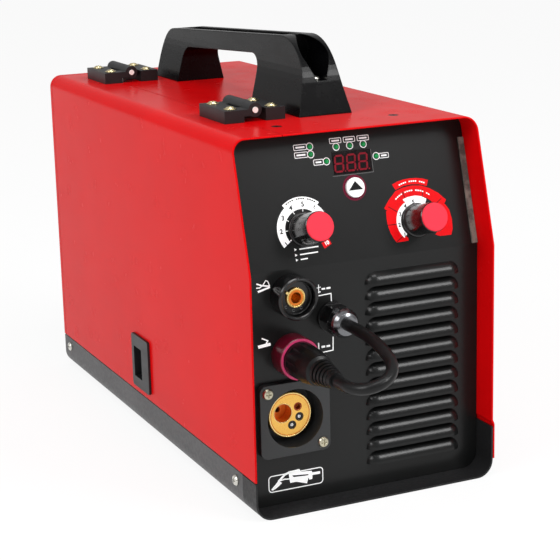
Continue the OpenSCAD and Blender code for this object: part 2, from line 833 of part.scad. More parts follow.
module latch_slider() {
    bar_w = 6;
    bar_y = latch_y + pocket_dy - pocket_w / 2 + 1;
    color(panel_black) {
        box([slider_x, latch_y - slider_w / 2, slider_low_z],
            [slider_x + slider_t, latch_y + slider_w / 2, slider_top_z]);
        box([slider_x - 3.6, bar_y, latch_z + pocket_dz - pocket_h / 2 + latch_travel + 1],
            [slider_x + eps, bar_y + bar_w, latch_z + pocket_dz + pocket_h / 2 - 2]);
    }
}

// ---------------------------------------------------------------- handle

function handle_top(y) = handle_front_h - handle_slope * y;

module handle() {
    side = rounded([
        [0, 0, 0], [16, handle_top(16), 48], [handle_l - 1, handle_top(handle_l), 32], [handle_l, 0, 0]
    ], 14);
    window_y1 = handle_l - rear_foot_l;
    window = rounded([
        [front_foot_l, -5, 0], [front_foot_l + 1, handle_top(front_foot_l) - grip_t, 13],
        [window_y1 - 2, handle_top(window_y1) - grip_t, 15], [window_y1, -5, 0]
    ], 10);
    flare = rounded([
        [handle_foot_w / 2, -1, 0], [grip_w / 2 + 2, handle_front_h / 2, 120],
        [grip_w / 2 - 0.5, handle_front_h + 10, 0], [-grip_w / 2 + 0.5, handle_front_h + 10, 0],
        [-grip_w / 2 - 2, handle_front_h / 2, 120], [-handle_foot_w / 2, -1, 0]
    ], 4);
    // Channel along the grip's top, with a ramp at its front
    channel_d = 11;
    channel_y0 = handle_l * 0.2;
    channel_y1 = handle_l * 0.57;
    channel_y2 = handle_l - 37;
    channel_ramp = channel_d / (channel_y1 - channel_y0);
    channel = [
        [channel_y0 - 10, handle_top(channel_y0) + 10 * channel_ramp],
        [channel_y1, handle_top(channel_y1) - channel_d],
        [channel_y2, handle_top(channel_y2) - channel_d], [channel_y2, handle_front_h + 10],
        [channel_y0 - 10, handle_front_h + 10]
    ];
    color(plastic_black)
    translate([handle_x, handle_y, body_h])
    difference() {
        intersection() {
            yz_prism(-handle_foot_w, handle_foot_w) polygon(side);
            xz_prism(-1, handle_l + 1) polygon(flare);
        }
        yz_prism(-handle_foot_w, handle_foot_w) polygon(window);
        yz_prism(-grip_w / 2 + 5.5, grip_w / 2 - 5.5) polygon(channel);
        // Keyhole shaped recess over the front screw
        y_rod(-1, keyhole_depth, 0, keyhole_z, keyhole_r);
        xz_prism(-1, keyhole_depth) polygon([
            [-keyhole_r * 0.93, keyhole_z - keyhole_r * 0.36], [-keyhole_r * 0.45, keyhole_floor + 4],
            [-keyhole_r * 0.42, keyhole_floor], [keyhole_r * 0.42, keyhole_floor],
            [keyhole_r * 0.45, keyhole_floor + 4], [keyhole_r * 0.93, keyhole_z - keyhole_r * 0.36]
        ]);
        translate([0, handle_screw_ys[1] - handle_y, keyhole_floor])
            cylinder(h = handle_front_h, r = 5.4);
        for (y = handle_screw_ys)
            translate([0, y - handle_y, -1])
                cylinder(h = keyhole_floor + 2, r = small_screw_r + hole_clear);
    }
}

// ---------------------------------------------------------------- control panel

module display_lens() {
    color([0.1, 0.02, 0.03])
    on_rake() translate([display_x, display_s, -1.2]) linear_extrude(1.6)
        square([display_w - 2 * hole_clear, display_h - 2 * hole_clear], center = true);
}

module status_lamps() {
    color([0.05, 0.45, 0.2])
    on_rake() for (p = lamp_places) translate([display_x + p[0], display_s + p[1], 0]) {
        translate([0, 0, -board_depth]) cylinder(h = board_depth + 0.3, r = lamp_r);
        translate([0, 0, 0.3]) intersection() {
            sphere(lamp_r);
            cylinder(h = lamp_r, r = lamp_r);
        }
    }
}

module mode_button() {
    color([0.93, 0.93, 0.93])
    on_rake() translate([button_x, button_s, 0]) {
        translate([0, 0, -4]) cylinder(h = 4 + 2.2, r = button_r);
        translate([0, 0, -board_depth + button_travel + 0.2])
            cylinder(h = board_depth - button_travel - 4, r = 2.6);
    }
}

module panel_seal_strip() {
    color([0.45, 0.38, 0.34])
    on_rake() translate([panel_right_x - 5.4, 1, 0.02]) cube([5, rake_len - 2 * top_bend_r + 3, 1.6]);
}

module control_board() {
    color(board_green)
    on_rake() translate([panel_left_x + 22, 8, -board_depth - 1.6])
        cube([panel_right_x - panel_left_x - 40, rake_len - 15, 1.6]);
}

module potentiometers() {
    color(zinc)
    on_rake() for (p = knob_places) translate([p[0], p[1], 0]) {
        translate([0, 0, -board_depth]) cylinder(h = board_depth - sheet_t - 0.2, r = 8);
        translate([0, 0, -board_depth + 4]) cylinder(h = board_depth - 4 + knob_h * 0.6, r = 4);
    }
}

module knob(place) {
    on_rake() translate([place[0], place[1], 0]) difference() {
        rotate_extrude() polygon([
            [0, 0.4], [knob_cap_r + 1.2, 0.4], [knob_cap_r + 1.2, 2.6], [knob_cap_r + 0.9, 3.2],
            [knob_cap_r + 0.6, knob_h - 2.2], [knob_cap_r, knob_h - 1.6], [0, knob_h - 1.6]
        ]);
        translate([0, 0, -1]) cylinder(h = knob_h * 0.6 + 1.3, r = 4 + running_clear);
    }
}

module knob_cap(place) {
    on_rake() translate([place[0], place[1], knob_h - 1.6]) rotate_extrude() polygon([
        [0, 0], [knob_cap_r, 0], [knob_cap_r, 1], [knob_cap_r - 0.6, 1.6], [0, 1.6]
    ]);
}

module wire_speed_knob() {
    color(plastic_black) knob(knob_places[0]);
}

module wire_speed_cap() {
    color(cap_red) knob_cap(knob_places[0]);
}

module voltage_knob() {
    color(plastic_black) knob(knob_places[1]);
}

module voltage_cap() {
    color(cap_red) knob_cap(knob_places[1]);
}

// ---------------------------------------------------------------- sockets and lead

// Round weld socket on the lower front panel
module weld_socket(z) {
    cup_depth = 8;
    bore_r = insert_r + running_clear;
    on_front() translate([-socket_x, z, 0]) rotate_extrude() polygon([
        [bore_r, -24], [socket_cup_r - 1, -24], [socket_cup_r - 1, 0], [socket_r, 0],
        [socket_r, socket_h - 1], [socket_r - 1, socket_h], [socket_cup_r + 0.6, socket_h],
        [socket_cup_r, socket_h - 0.6], [socket_cup_r, socket_h - cup_depth],
        [bore_r, socket_h - cup_depth]
    ]);
}

module upper_socket() {
    color(plastic_black) weld_socket(upper_socket_z);
}

module lower_socket() {
    color(socket_red) weld_socket(lower_socket_z);
}

module socket_inserts() {
    color(brass)
    for (z = [upper_socket_z, lower_socket_z]) on_front() translate([-socket_x, z, 0]) difference() {
        union() {
            translate([0, 0, -insert_back_l]) cylinder(h = insert_back_l + insert_face, r = insert_r);
            translate([0, 0, -29]) cylinder(h = 5, r = 13, $fn = 6);
        }
        translate([0, 0, -14]) cylinder(h = 15 + insert_face, r = socket_bore_r);
    }
}

module torch_flange() {
    cup_back = 24;
    wall = 1.5;
    color(panel_black)
    on_front() difference() {
        union() {
            translate([torch_x, torch_z, 0]) linear_extrude(torch_flange_t)
                polygon(round_rect(torch_flange_w, torch_flange_w, 6));
            translate([torch_x, torch_z, -cup_back])
                cylinder(h = cup_back + eps, r = torch_mouth_r + wall);
        }
        translate([torch_x, torch_z, -cup_back + 4])
            cylinder(h = cup_back + torch_flange_t, r = torch_mouth_r);
        translate([torch_x, torch_z, -cup_back - 1])
            cylinder(h = cup_back, r = torch_body_r + running_clear);
        translate([0, 0, -1]) at_torch_screws()
            cylinder(h = torch_flange_t + 2, r = small_screw_r + hole_clear);
    }
}

module torch_socket_body() {
    color(brass)
    on_front() translate([torch_x, torch_z, -torch_body_l - torch_face_in]) difference() {
        cylinder(h = torch_body_l, r = torch_body_r);
        translate([wire_dx, wire_dz, -1]) cylinder(h = torch_body_l + 2, r = torch_bore_r);
        translate([gas_hole[0], gas_hole[1], torch_body_l - 20]) cylinder(h = 21, r = 2.6);
        for (p = pin_places) translate([p[0], p[1], torch_body_l - 30]) cylinder(h = 31, r = 3);
    }
}

module torch_pins() {
    color(plastic_black)
    on_front() for (p = pin_places)
        translate([torch_x + p[0], torch_z + p[1], -torch_face_in - 30]) difference() {
            cylinder(h = 29.6, r = 2.95);
            translate([0, 0, 20]) cylinder(h = 12, r = 1.4);
        }
}

module torch_screws() {
    color(zinc)
    on_front() translate([0, 0, torch_flange_t]) at_torch_screws()
        pan_screw(4.7, small_screw_r, torch_flange_t + 6);
}

module lead_gland() {
    color(plastic_black)
    on_front() translate([-gland_x, gland_z, 0]) {
        cylinder(h = 3, r = 13.5);
        translate([0, 0, 3 - eps]) cylinder(h = 14 + eps, r = 13, $fn = 6);
        translate([0, 0, -12]) cylinder(h = 12 + eps, r = 8);
        translate([0, 0, -sheet_t - 5]) cylinder(h = 5, r = 12.5, $fn = 6);
    }
}

module lead_gland_nut() {
    color(zinc)
    on_front() translate([-gland_x, gland_z, 17]) rotate_extrude() polygon([
        [0, 0], [11.6, 0], [12.4, 0.8], [12.4, 7], [11.4, 9],
        [9.6, gland_h - 18.2], [7.4, gland_h - 17], [0, gland_h - 17]
    ]);
}

// Point at t from 0 to 1 of the smooth curve between b and c
function spline(a, b, c, d, t) =
    (b * 2 + (c - a) * t + (a * 2 - b * 5 + c * 4 - d) * t * t + (b * 3 - a - c * 3 + d) * t * t * t) / 2;

function lead_points(route, cuts) =
    let (n = len(route) - 1)
    [for (i = [0:n - 1], k = [0:cuts - 1])
        if (k == 0 || (i > 0 && i < n - 1))
            spline(route[max(i - 1, 0)], route[i], route[i + 1], route[min(i + 2, n)], k / cuts),
     route[n]];

function unit(v) = v / norm(v);

module lead_cable() {
    sides = 10;
    points = lead_points(lead_route, 2);
    n = len(points);
    // Ring i stands square to the route there; the first and last rings face straight along Y
    ways = [for (i = [0:n - 1])
        i == 0 ? [0, -1, 0] : i == n - 1 ? [0, 1, 0] : unit(points[i + 1] - points[i - 1])];
    rings = [for (i = [0:n - 1])
        let (side = unit(cross(ways[i], [0.2, 0, 1])), up = cross(side, ways[i]))
        [for (k = [0:sides - 1])
            points[i] + lead_r * (side * cos(360 * k / sides) + up * sin(360 * k / sides))]];
    verts = [for (ring = rings) each ring];
    walls = [for (i = [0:n - 2], k = [0:sides - 1])
        let (a = i * sides + k, b = i * sides + (k + 1) % sides)
        each [[a, b, b + sides], [a, b + sides, a + sides]]];
    caps = [
        [for (k = [sides - 1:-1:0]) k],
        [for (k = [0:sides - 1]) (n - 1) * sides + k]
    ];
    color(plastic_black) polyhedron(verts, concat(walls, caps));
}

module lead_plug() {
    nose_z = insert_face + 0.2;
    tail_z = socket_h + plug_l;
    rings = 5;
    color(plastic_black)
    on_front() translate([-socket_x, lower_socket_z, 0]) {
        difference() {
            rotate_extrude() polygon([
                [0, nose_z], [socket_cup_r - 0.8, nose_z], [socket_cup_r - 0.8, socket_h + 0.6],
                [socket_cup_r + 0.4, socket_h + 1.2], [socket_cup_r, socket_h + 20],
                [12.6, socket_h + 36], [9.4, socket_h + 38], [7, tail_z], [0, tail_z]
            ]);
            for (turn = [0:45:315])
                rotate([0, 0, turn]) translate([socket_cup_r + 5.2, 0, socket_h + 4])
                    cylinder(h = 27, r = 6);
        }
        // Boot rings
        for (i = [0:rings - 1]) {
            ring_r = 11.2 - i * 0.75;
            translate([0, 0, socket_h + 40 + i * 4.6])
                cylinder(h = 2.6, r1 = ring_r, r2 = ring_r - 0.4);
        }
    }
}

module lead_plug_pin() {
    color(brass)
    on_front() translate([-socket_x, lower_socket_z, -12])
        cylinder(h = 12 + insert_face + 0.2, r = socket_bore_r - hole_clear);
}

// ---------------------------------------------------------------- wire feeder

module feeder_plate() {
    color(aluminium)
    difference() {
        union() {
            box([plate_left_x, roll_y - plate_l / 2, plate_low_z],
                [plate_right_x, roll_y + plate_l / 2, plate_low_z + plate_h]);
            // Spacers to the dividing wall
            for (dy = [-1, 1], z = [plate_low_z + 10, plate_low_z + plate_h - 10])
                x_rod(plate_right_x - eps, divider_left_x, roll_y + dy * (plate_l / 2 - 12), z, 5);
            // Pivots of the pressure arm and the tension lever
            x_rod(arm_left_x - 0.3, plate_left_x + eps, arm_pivot_y, arm_pivot_z, 4);
            x_rod(arm_left_x - 2.3, arm_left_x - 0.3 + eps, arm_pivot_y, arm_pivot_z, 6);
            x_rod(arm_left_x - 0.3, plate_left_x + eps, lever_y, lever_pivot_z, 2.5);
            x_rod(arm_left_x - 1.8, arm_left_x - 0.3 + eps, lever_y, lever_pivot_z, 4.5);
        }
        x_rod(plate_left_x - 1, plate_right_x + 1, roll_y, drive_roll_z, roll_shaft_r + running_clear);
    }
}

module feeder_motor() {
    color(tray_grey)
    difference() {
        union() {
            box([plate_right_x, roll_y - 24, drive_roll_z - 24],
                [divider_right_x + 12, roll_y + 24, drive_roll_z + 24]);
            x_rod(divider_right_x + 12 - eps, divider_right_x + 72, roll_y, drive_roll_z, 21);
        }
        x_rod(plate_right_x - 1, plate_right_x + 24, roll_y, drive_roll_z, roll_shaft_r + running_clear);
    }
}

module wire_guides() {
    body_back_y = panel_y + torch_face_in + torch_body_l;
    color(brass)
    difference() {
        union() {
            // Inlet guide on its arm from the plate
            y_rod(roll_y + 13, roll_y + 46, wire_x, wire_z, 4);
            box([wire_x, roll_y + 35, wire_z - 3.5], [plate_left_x, roll_y + 43, wire_z + 3.5]);
            // Outlet guide on the torch socket's back
            y_rod(body_back_y, body_back_y + 2.5, wire_x, wire_z, torch_bore_r + 1.5);
            y_rod(body_back_y, roll_y - 13, wire_x, wire_z, 4);
        }
        y_rod(body_back_y - 1, roll_y + 47, wire_x, wire_z, 1.2);
    }
}

module drive_roll() {
    groove = 0.9;
    color(zinc)
    translate([wire_x, roll_y, drive_roll_z]) rotate([0, 90, 0]) rotate_extrude() polygon([
        [0, -roll_w / 2 - 7], [8, -roll_w / 2 - 7], [9, -roll_w / 2 - 6], [9, -roll_w / 2],
        [drive_roll_r - 0.5, -roll_w / 2], [drive_roll_r, -roll_w / 2 + 0.5], [drive_roll_r, -groove],
        [drive_roll_r - groove, 0], [drive_roll_r, groove], [drive_roll_r, roll_w / 2 - 0.5],
        [drive_roll_r - 0.5, roll_w / 2], [roll_shaft_r, roll_w / 2],
        [roll_shaft_r, plate_right_x - wire_x + 20], [0, plate_right_x - wire_x + 20]
    ]);
}

module pressure_arm() {
    bar_h = 14;
    slot_r = 3.4;
    reach_y = lever_y - 4.5;
    color(plastic_black)
    difference() {
        union() {
            box([arm_left_x, reach_y, arm_pivot_z - bar_h / 2],
                [arm_right_x, arm_pivot_y, arm_pivot_z + bar_h / 2]);
            x_rod(arm_left_x, arm_right_x, arm_pivot_y, arm_pivot_z, bar_h / 2);
            // Axle of the pressure roll with its end cap
            x_rod(wire_x - roll_w / 2 - 0.3, arm_left_x + 4, roll_y, pressure_roll_z, roll_shaft_r);
            x_rod(wire_x - roll_w / 2 - 2.3, wire_x - roll_w / 2 - 0.3 + eps,
                roll_y, pressure_roll_z, 6);
        }
        x_rod(arm_left_x - 1, arm_right_x + 1, arm_pivot_y, arm_pivot_z, 4 + running_clear);
        // Open slot for the tension rod
        box([lever_x - slot_r, reach_y - 1, arm_pivot_z - bar_h],
            [lever_x + slot_r, lever_y + slot_r, arm_pivot_z + bar_h]);
    }
}

module pressure_roll() {
    color(zinc)
    difference() {
        x_rod(wire_x - roll_w / 2, wire_x + roll_w / 2, roll_y, pressure_roll_z, pressure_roll_r);
        x_rod(-body_w, body_w, roll_y, pressure_roll_z, roll_shaft_r + running_clear);
    }
}

module tension_lever() {
    knob_low = arm_pivot_z + 7 + 8.5;
    color(plastic_black)
    difference() {
        union() {
            x_rod(arm_left_x, arm_right_x, lever_y, lever_pivot_z, 5.5);
            translate([lever_x, lever_y, lever_pivot_z])
                cylinder(h = knob_low - lever_pivot_z + 2, r = 3);
            translate([lever_x, lever_y, knob_low]) rotate_extrude() polygon([
                [0, 0], [6, 0], [7, 1], [7, 14], [8.4, 16], [8.4, 30], [7.4, 31], [0, 31]
            ]);
        }
        x_rod(arm_left_x - 1, arm_right_x + 1, lever_y, lever_pivot_z, 2.5 + running_clear);
    }
}

// ---------------------------------------------------------------- spool hub

module hub_spindle() {
    end_x = divider_left_x - 4 - 0.6 - hub_l;
    color(zinc) {
        x_rod(divider_left_x - 4, divider_left_x, hub_y, hub_z, 30);
        x_rod(end_x - 12, divider_right_x + 6, hub_y, hub_z, hub_bore_r);
        translate([end_x - 9, hub_y, hub_z]) rotate([0, 90, 0]) cylinder(h = 9, r = 14, $fn = 6);
    }
}

module spool_hub() {
    back_x = divider_left_x - 4 - 0.3;
    color(plastic_black)
    difference() {
        union() {
            x_rod(back_x - hub_l, back_x, hub_y, hub_z, hub_r);
            x_rod(back_x - 4, back_x, hub_y, hub_z, hub_r + 9);
            // Driving peg for the spool
            x_rod(back_x - 14, back_x - 4 + eps, hub_y, hub_z + hub_r + 4.5, 3);
        }
        x_rod(back_x - hub_l - 1, back_x + 1, hub_y, hub_z, hub_bore_r + running_clear);
    }
}

// ---------------------------------------------------------------- power section

module power_board() {
    color(board_green)
    box([board_x0, board_y0, board_z], [board_x0 + board_w, board_y0 + board_l, board_z + board_t]);
}

module heatsinks() {
    fins = 7;
    fin_pitch = 5.6;
    color(aluminium)
    for (y = [board_y0 + 70, board_y0 + 70 + sink_l + 8])
        translate([board_x0 + 6, y, board_z + board_t]) {
        cube([fin_pitch * (fins - 1) + 2, sink_l, 5]);
        for (i = [0:fins - 1]) translate([i * fin_pitch, 0, 0]) cube([2, sink_l, 58]);
    }
}

module capacitors() {
    color([0.1, 0.12, 0.2])
    for (i = [0:capacitor_count - 1])
        translate([board_x0 + board_w - 18, board_y0 + 88 + i * capacitor_dy, board_z + board_t])
        rotate_extrude() polygon([
            [0, 0], [14, 0], [15, 1], [15, 4], [14.4, 5], [15, 6], [15, 41], [14, 42], [0, 42]
        ]);
}

module transformer() {
    color([0.16, 0.15, 0.15])
    translate([board_x0 + board_w - 36, board_y0 + transformer_dy, board_z + board_t]) {
        difference() {
            cube([32, 50, 46]);
            translate([-1, 8, 8]) cube([34, 34, 30]);
        }
        translate([16, 25, 8 - eps]) cylinder(h = 30 + 2 * eps, r = 16);
    }
}

module output_choke() {
    color(copper)
    translate([board_x0 + board_w - 22, board_y0 + 46, board_z + board_t + 7])
        rotate_extrude() translate([14, 0]) circle(7);
}

// ---------------------------------------------------------------- fan

module fan_frame() {
    color(plastic_black)
    translate([fan_x, fan_y, fan_z]) difference() {
        union() {
            difference() {
                translate([0, fan_t, 0]) rotate([90, 0, 0]) linear_extrude(fan_t)
                    polygon(round_rect(fan_w, fan_w, 4));
                y_rod(-1, fan_t + 1, 0, 0, fan_rotor_r + 1.5);
            }
            // Four arms, the motor's plate and its spindle
            for (turn = [45:90:315]) rotate([0, turn, 0])
                box([0, fan_t - 3, -3], [fan_rotor_r + 3, fan_t, 3]);
            y_rod(fan_t - 3, fan_t, 0, 0, 18);
            y_rod(4, fan_t - 3 + eps, 0, 0, 3);
        }
        for (dx = [-1, 1], dz = [-1, 1])
            y_rod(-1, fan_t + 1, dx * (fan_w / 2 - 5), dz * (fan_w / 2 - 5), 2);
    }
}

module fan_rotor() {
    blades = 7;
    color(plastic_black)
    translate([fan_x, fan_y, fan_z]) difference() {
        union() {
            y_rod(2, fan_t - 3.6, 0, 0, 17);
            for (i = [0:blades - 1]) rotate([0, i * 360 / blades, 0])
                translate([16, fan_t / 2 - 1.6, 0]) rotate([38, 0, 0])
                    box([0, -1, -12], [fan_rotor_r - 17, 1, 12]);
        }
        y_rod(3.4, fan_t, 0, 0, 3 + running_clear);
    }
}

// ---------------------------------------------------------------- rear fittings

module gas_valve() {
    color(brass)
    difference() {
        union() {
            box([gas_x - 13, rear_panel_y - 34, gas_z - 13], [gas_x + 13, rear_panel_y, gas_z + 13]);
            translate([gas_x, rear_panel_y - 17, gas_z]) cylinder(h = 44, r = 11);
            on_rear() translate([gas_x, gas_z, 0]) {
                translate([0, 0, -sheet_t - eps]) cylinder(h = sheet_t + 2 * eps, r = 5);
                cylinder(h = 5, r = 8, $fn = 6);
                cylinder(h = 22, r = gas_spigot_r);
            }
        }
        on_rear() translate([gas_x, gas_z, -20]) cylinder(h = 50, r = 2.4);
    }
}

module switch_housing() {
    color(plastic_black)
    on_rear() translate([switch_x, switch_z, 0]) difference() {
        union() {
            linear_extrude(2) polygon(round_rect(switch_w + 5, switch_h + 5, 2));
            translate([-switch_w / 2, -switch_h / 2, -22]) cube([switch_w, switch_h, 22 + eps]);
        }
        translate([-switch_w / 2 + 2, -switch_h / 2 + 2, -9]) cube([switch_w - 4, switch_h - 4, 12]);
    }
    // Trunnions of the rocker
    color(plastic_black)
    on_rear() for (side = [-1, 1])
        translate([switch_x + side * (switch_w / 2 - 2.4), switch_z, -2]) rotate([0, 90, 0])
            cylinder(h = 2.8, r = 1.5, center = true);
}

module power_rocker() {
    color([0.6, 0.05, 0.05])
    on_rear() translate([switch_x, switch_z, -2]) difference() {
        rotate([rocker_tilt, 0, 0]) rotate([0, 90, 0]) rotate([0, 0, 90])
            linear_extrude(switch_w - 4.8, center = true)
                polygon([[-11, 5], [0, 3], [11, 5], [8, -4.5], [-8, -4.5]]);
        rotate([0, 90, 0]) cylinder(h = switch_w, r = 1.5 + running_clear, center = true);
    }
}

module mains_gland() {
    color(plastic_black)
    on_rear() translate([mains_x, mains_z, 0]) difference() {
        union() {
            translate([0, 0, -12]) cylinder(h = 12 + eps, r = 9);
            translate([0, 0, -sheet_t - 5]) cylinder(h = 5, r = 13, $fn = 6);
            cylinder(h = 3, r = 13);
            translate([0, 0, 3 - eps]) cylinder(h = 7, r = 12.5, $fn = 6);
            translate([0, 0, 10 - eps]) cylinder(h = 12, r1 = 11, r2 = 8.5);
        }
        translate([0, 0, -13]) cylinder(h = 40, r = mains_bore_r);
    }
}

module earth_stud() {
    color(zinc)
    on_rear() translate([stud_x, stud_z, 0]) {
        translate([0, 0, -8]) cylinder(h = 24, r = 3);
        translate([0, 0, -sheet_t - 5]) cylinder(h = 5, r = 5.8, $fn = 6);
        cylinder(h = 1.4, r = 7);
        translate([0, 0, 1.4 - eps]) cylinder(h = 5, r = 5.8, $fn = 6);
    }
}

base_tray();
front_panel();
rear_panel();
cover();
divider();
door();
handle();
handle_screws();
cover_hinge_leaves();
door_hinge_leaves();
hinge_pins();
cover_hinge_screws();
door_hinge_screws();
cover_screws();
skirt_screws();
latch_frame();
latch_slider();
display_lens();
status_lamps();
mode_button();
panel_seal_strip();
control_board();
potentiometers();
wire_speed_knob();
wire_speed_cap();
voltage_knob();
voltage_cap();
upper_socket();
lower_socket();
socket_inserts();
torch_flange();
torch_socket_body();
torch_pins();
torch_screws();
lead_gland();
lead_gland_nut();
lead_cable();
lead_plug();
lead_plug_pin();
feeder_plate();
feeder_motor();
wire_guides();
drive_roll();
pressure_arm();
pressure_roll();
tension_lever();
hub_spindle();
spool_hub();
power_board();
heatsinks();
capacitors();
transformer();
output_choke();
fan_frame();
fan_rotor();
gas_valve();
switch_housing();
power_rocker();
mains_gland();
earth_stud();
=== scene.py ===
"""Dressed model of a MIG welding machine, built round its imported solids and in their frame."""

import logging
import math
from collections.abc import Callable, Sequence
from dataclasses import dataclass
from enum import Enum

import bmesh
import bpy
from mathutils import Matrix, Vector


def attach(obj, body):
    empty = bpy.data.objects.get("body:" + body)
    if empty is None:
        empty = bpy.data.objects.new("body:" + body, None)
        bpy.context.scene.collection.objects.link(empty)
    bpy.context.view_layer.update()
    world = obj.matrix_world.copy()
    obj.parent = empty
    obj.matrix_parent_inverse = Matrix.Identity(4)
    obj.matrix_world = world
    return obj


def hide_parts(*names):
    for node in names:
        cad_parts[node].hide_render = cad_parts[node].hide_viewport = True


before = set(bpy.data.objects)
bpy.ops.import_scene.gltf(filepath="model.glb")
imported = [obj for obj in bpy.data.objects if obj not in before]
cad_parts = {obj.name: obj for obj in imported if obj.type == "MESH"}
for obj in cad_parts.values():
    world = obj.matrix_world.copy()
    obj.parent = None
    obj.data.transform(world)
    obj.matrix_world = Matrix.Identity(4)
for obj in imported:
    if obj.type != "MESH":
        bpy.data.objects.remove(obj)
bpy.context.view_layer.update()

LOG = logging.getLogger("welding_machine")
MM = 0.001
# Distances in millimetres: half of an ink's thickness, and how near two corners merge
INK_HALF = 0.04
WELD = 0.0005
Colour = tuple[int, int, int]
Point2 = tuple[float, float]
Point3 = tuple[float, float, float]


def linear(colour: Colour) -> tuple[float, float, float, float]:
    """Gives a display colour, 0 to 255 a channel, as the linear colour that shaders take.

    Args:
        colour: Red, green and blue as they show on a display.

    Returns:
        Linear red, green, blue and an alpha of 1.
    """
    parts = [c / 255 for c in colour]
    return (*[p / 12.92 if p <= 0.04045 else ((p + 0.055) / 1.055) ** 2.4 for p in parts], 1.0)


def tone(colour: Colour, factor: float) -> Colour:
    """Gives a colour made lighter or darker by a factor."""
    return tuple(min(255, round(c * factor)) for c in colour)


class Face(Enum):
    """Flat faces of the casing: each gives the place of its (across, up, outwards) millimetres."""

    FRONT = ((0.0, -230.0, 0.0), (1.0, 0.0, 0.0), (0.0, 0.0, 1.0))
    RAKE = ((0.0, -230.0, 204.5617), (1.0, 0.0, 0.0), (0.0, 0.269973, 0.962867))

    def matrix(self) -> Matrix:
        """Gives the matrix from this face's millimetres to the frame's metres."""
        origin, across, up = (Vector(v) for v in self.value)
        out = across.cross(up)
        turn = Matrix((across, up, out)).transposed().to_4x4()
        return Matrix.Translation(origin * MM) @ turn @ Matrix.Scale(MM, 4)

    def at(self, across: float, up: float, out: float = 0.0) -> Matrix:
        """Gives the matrix of a place on this face, with Z outwards and millimetres as units."""
        return self.matrix() @ Matrix.Translation((across, up, out))

    def local(self, point: Vector) -> Vector:
        """Gives a point of the frame as this face's (across, up, outwards) millimetres."""
        return self.matrix().inverted() @ point


# ---------------------------------------------------------------- shader building


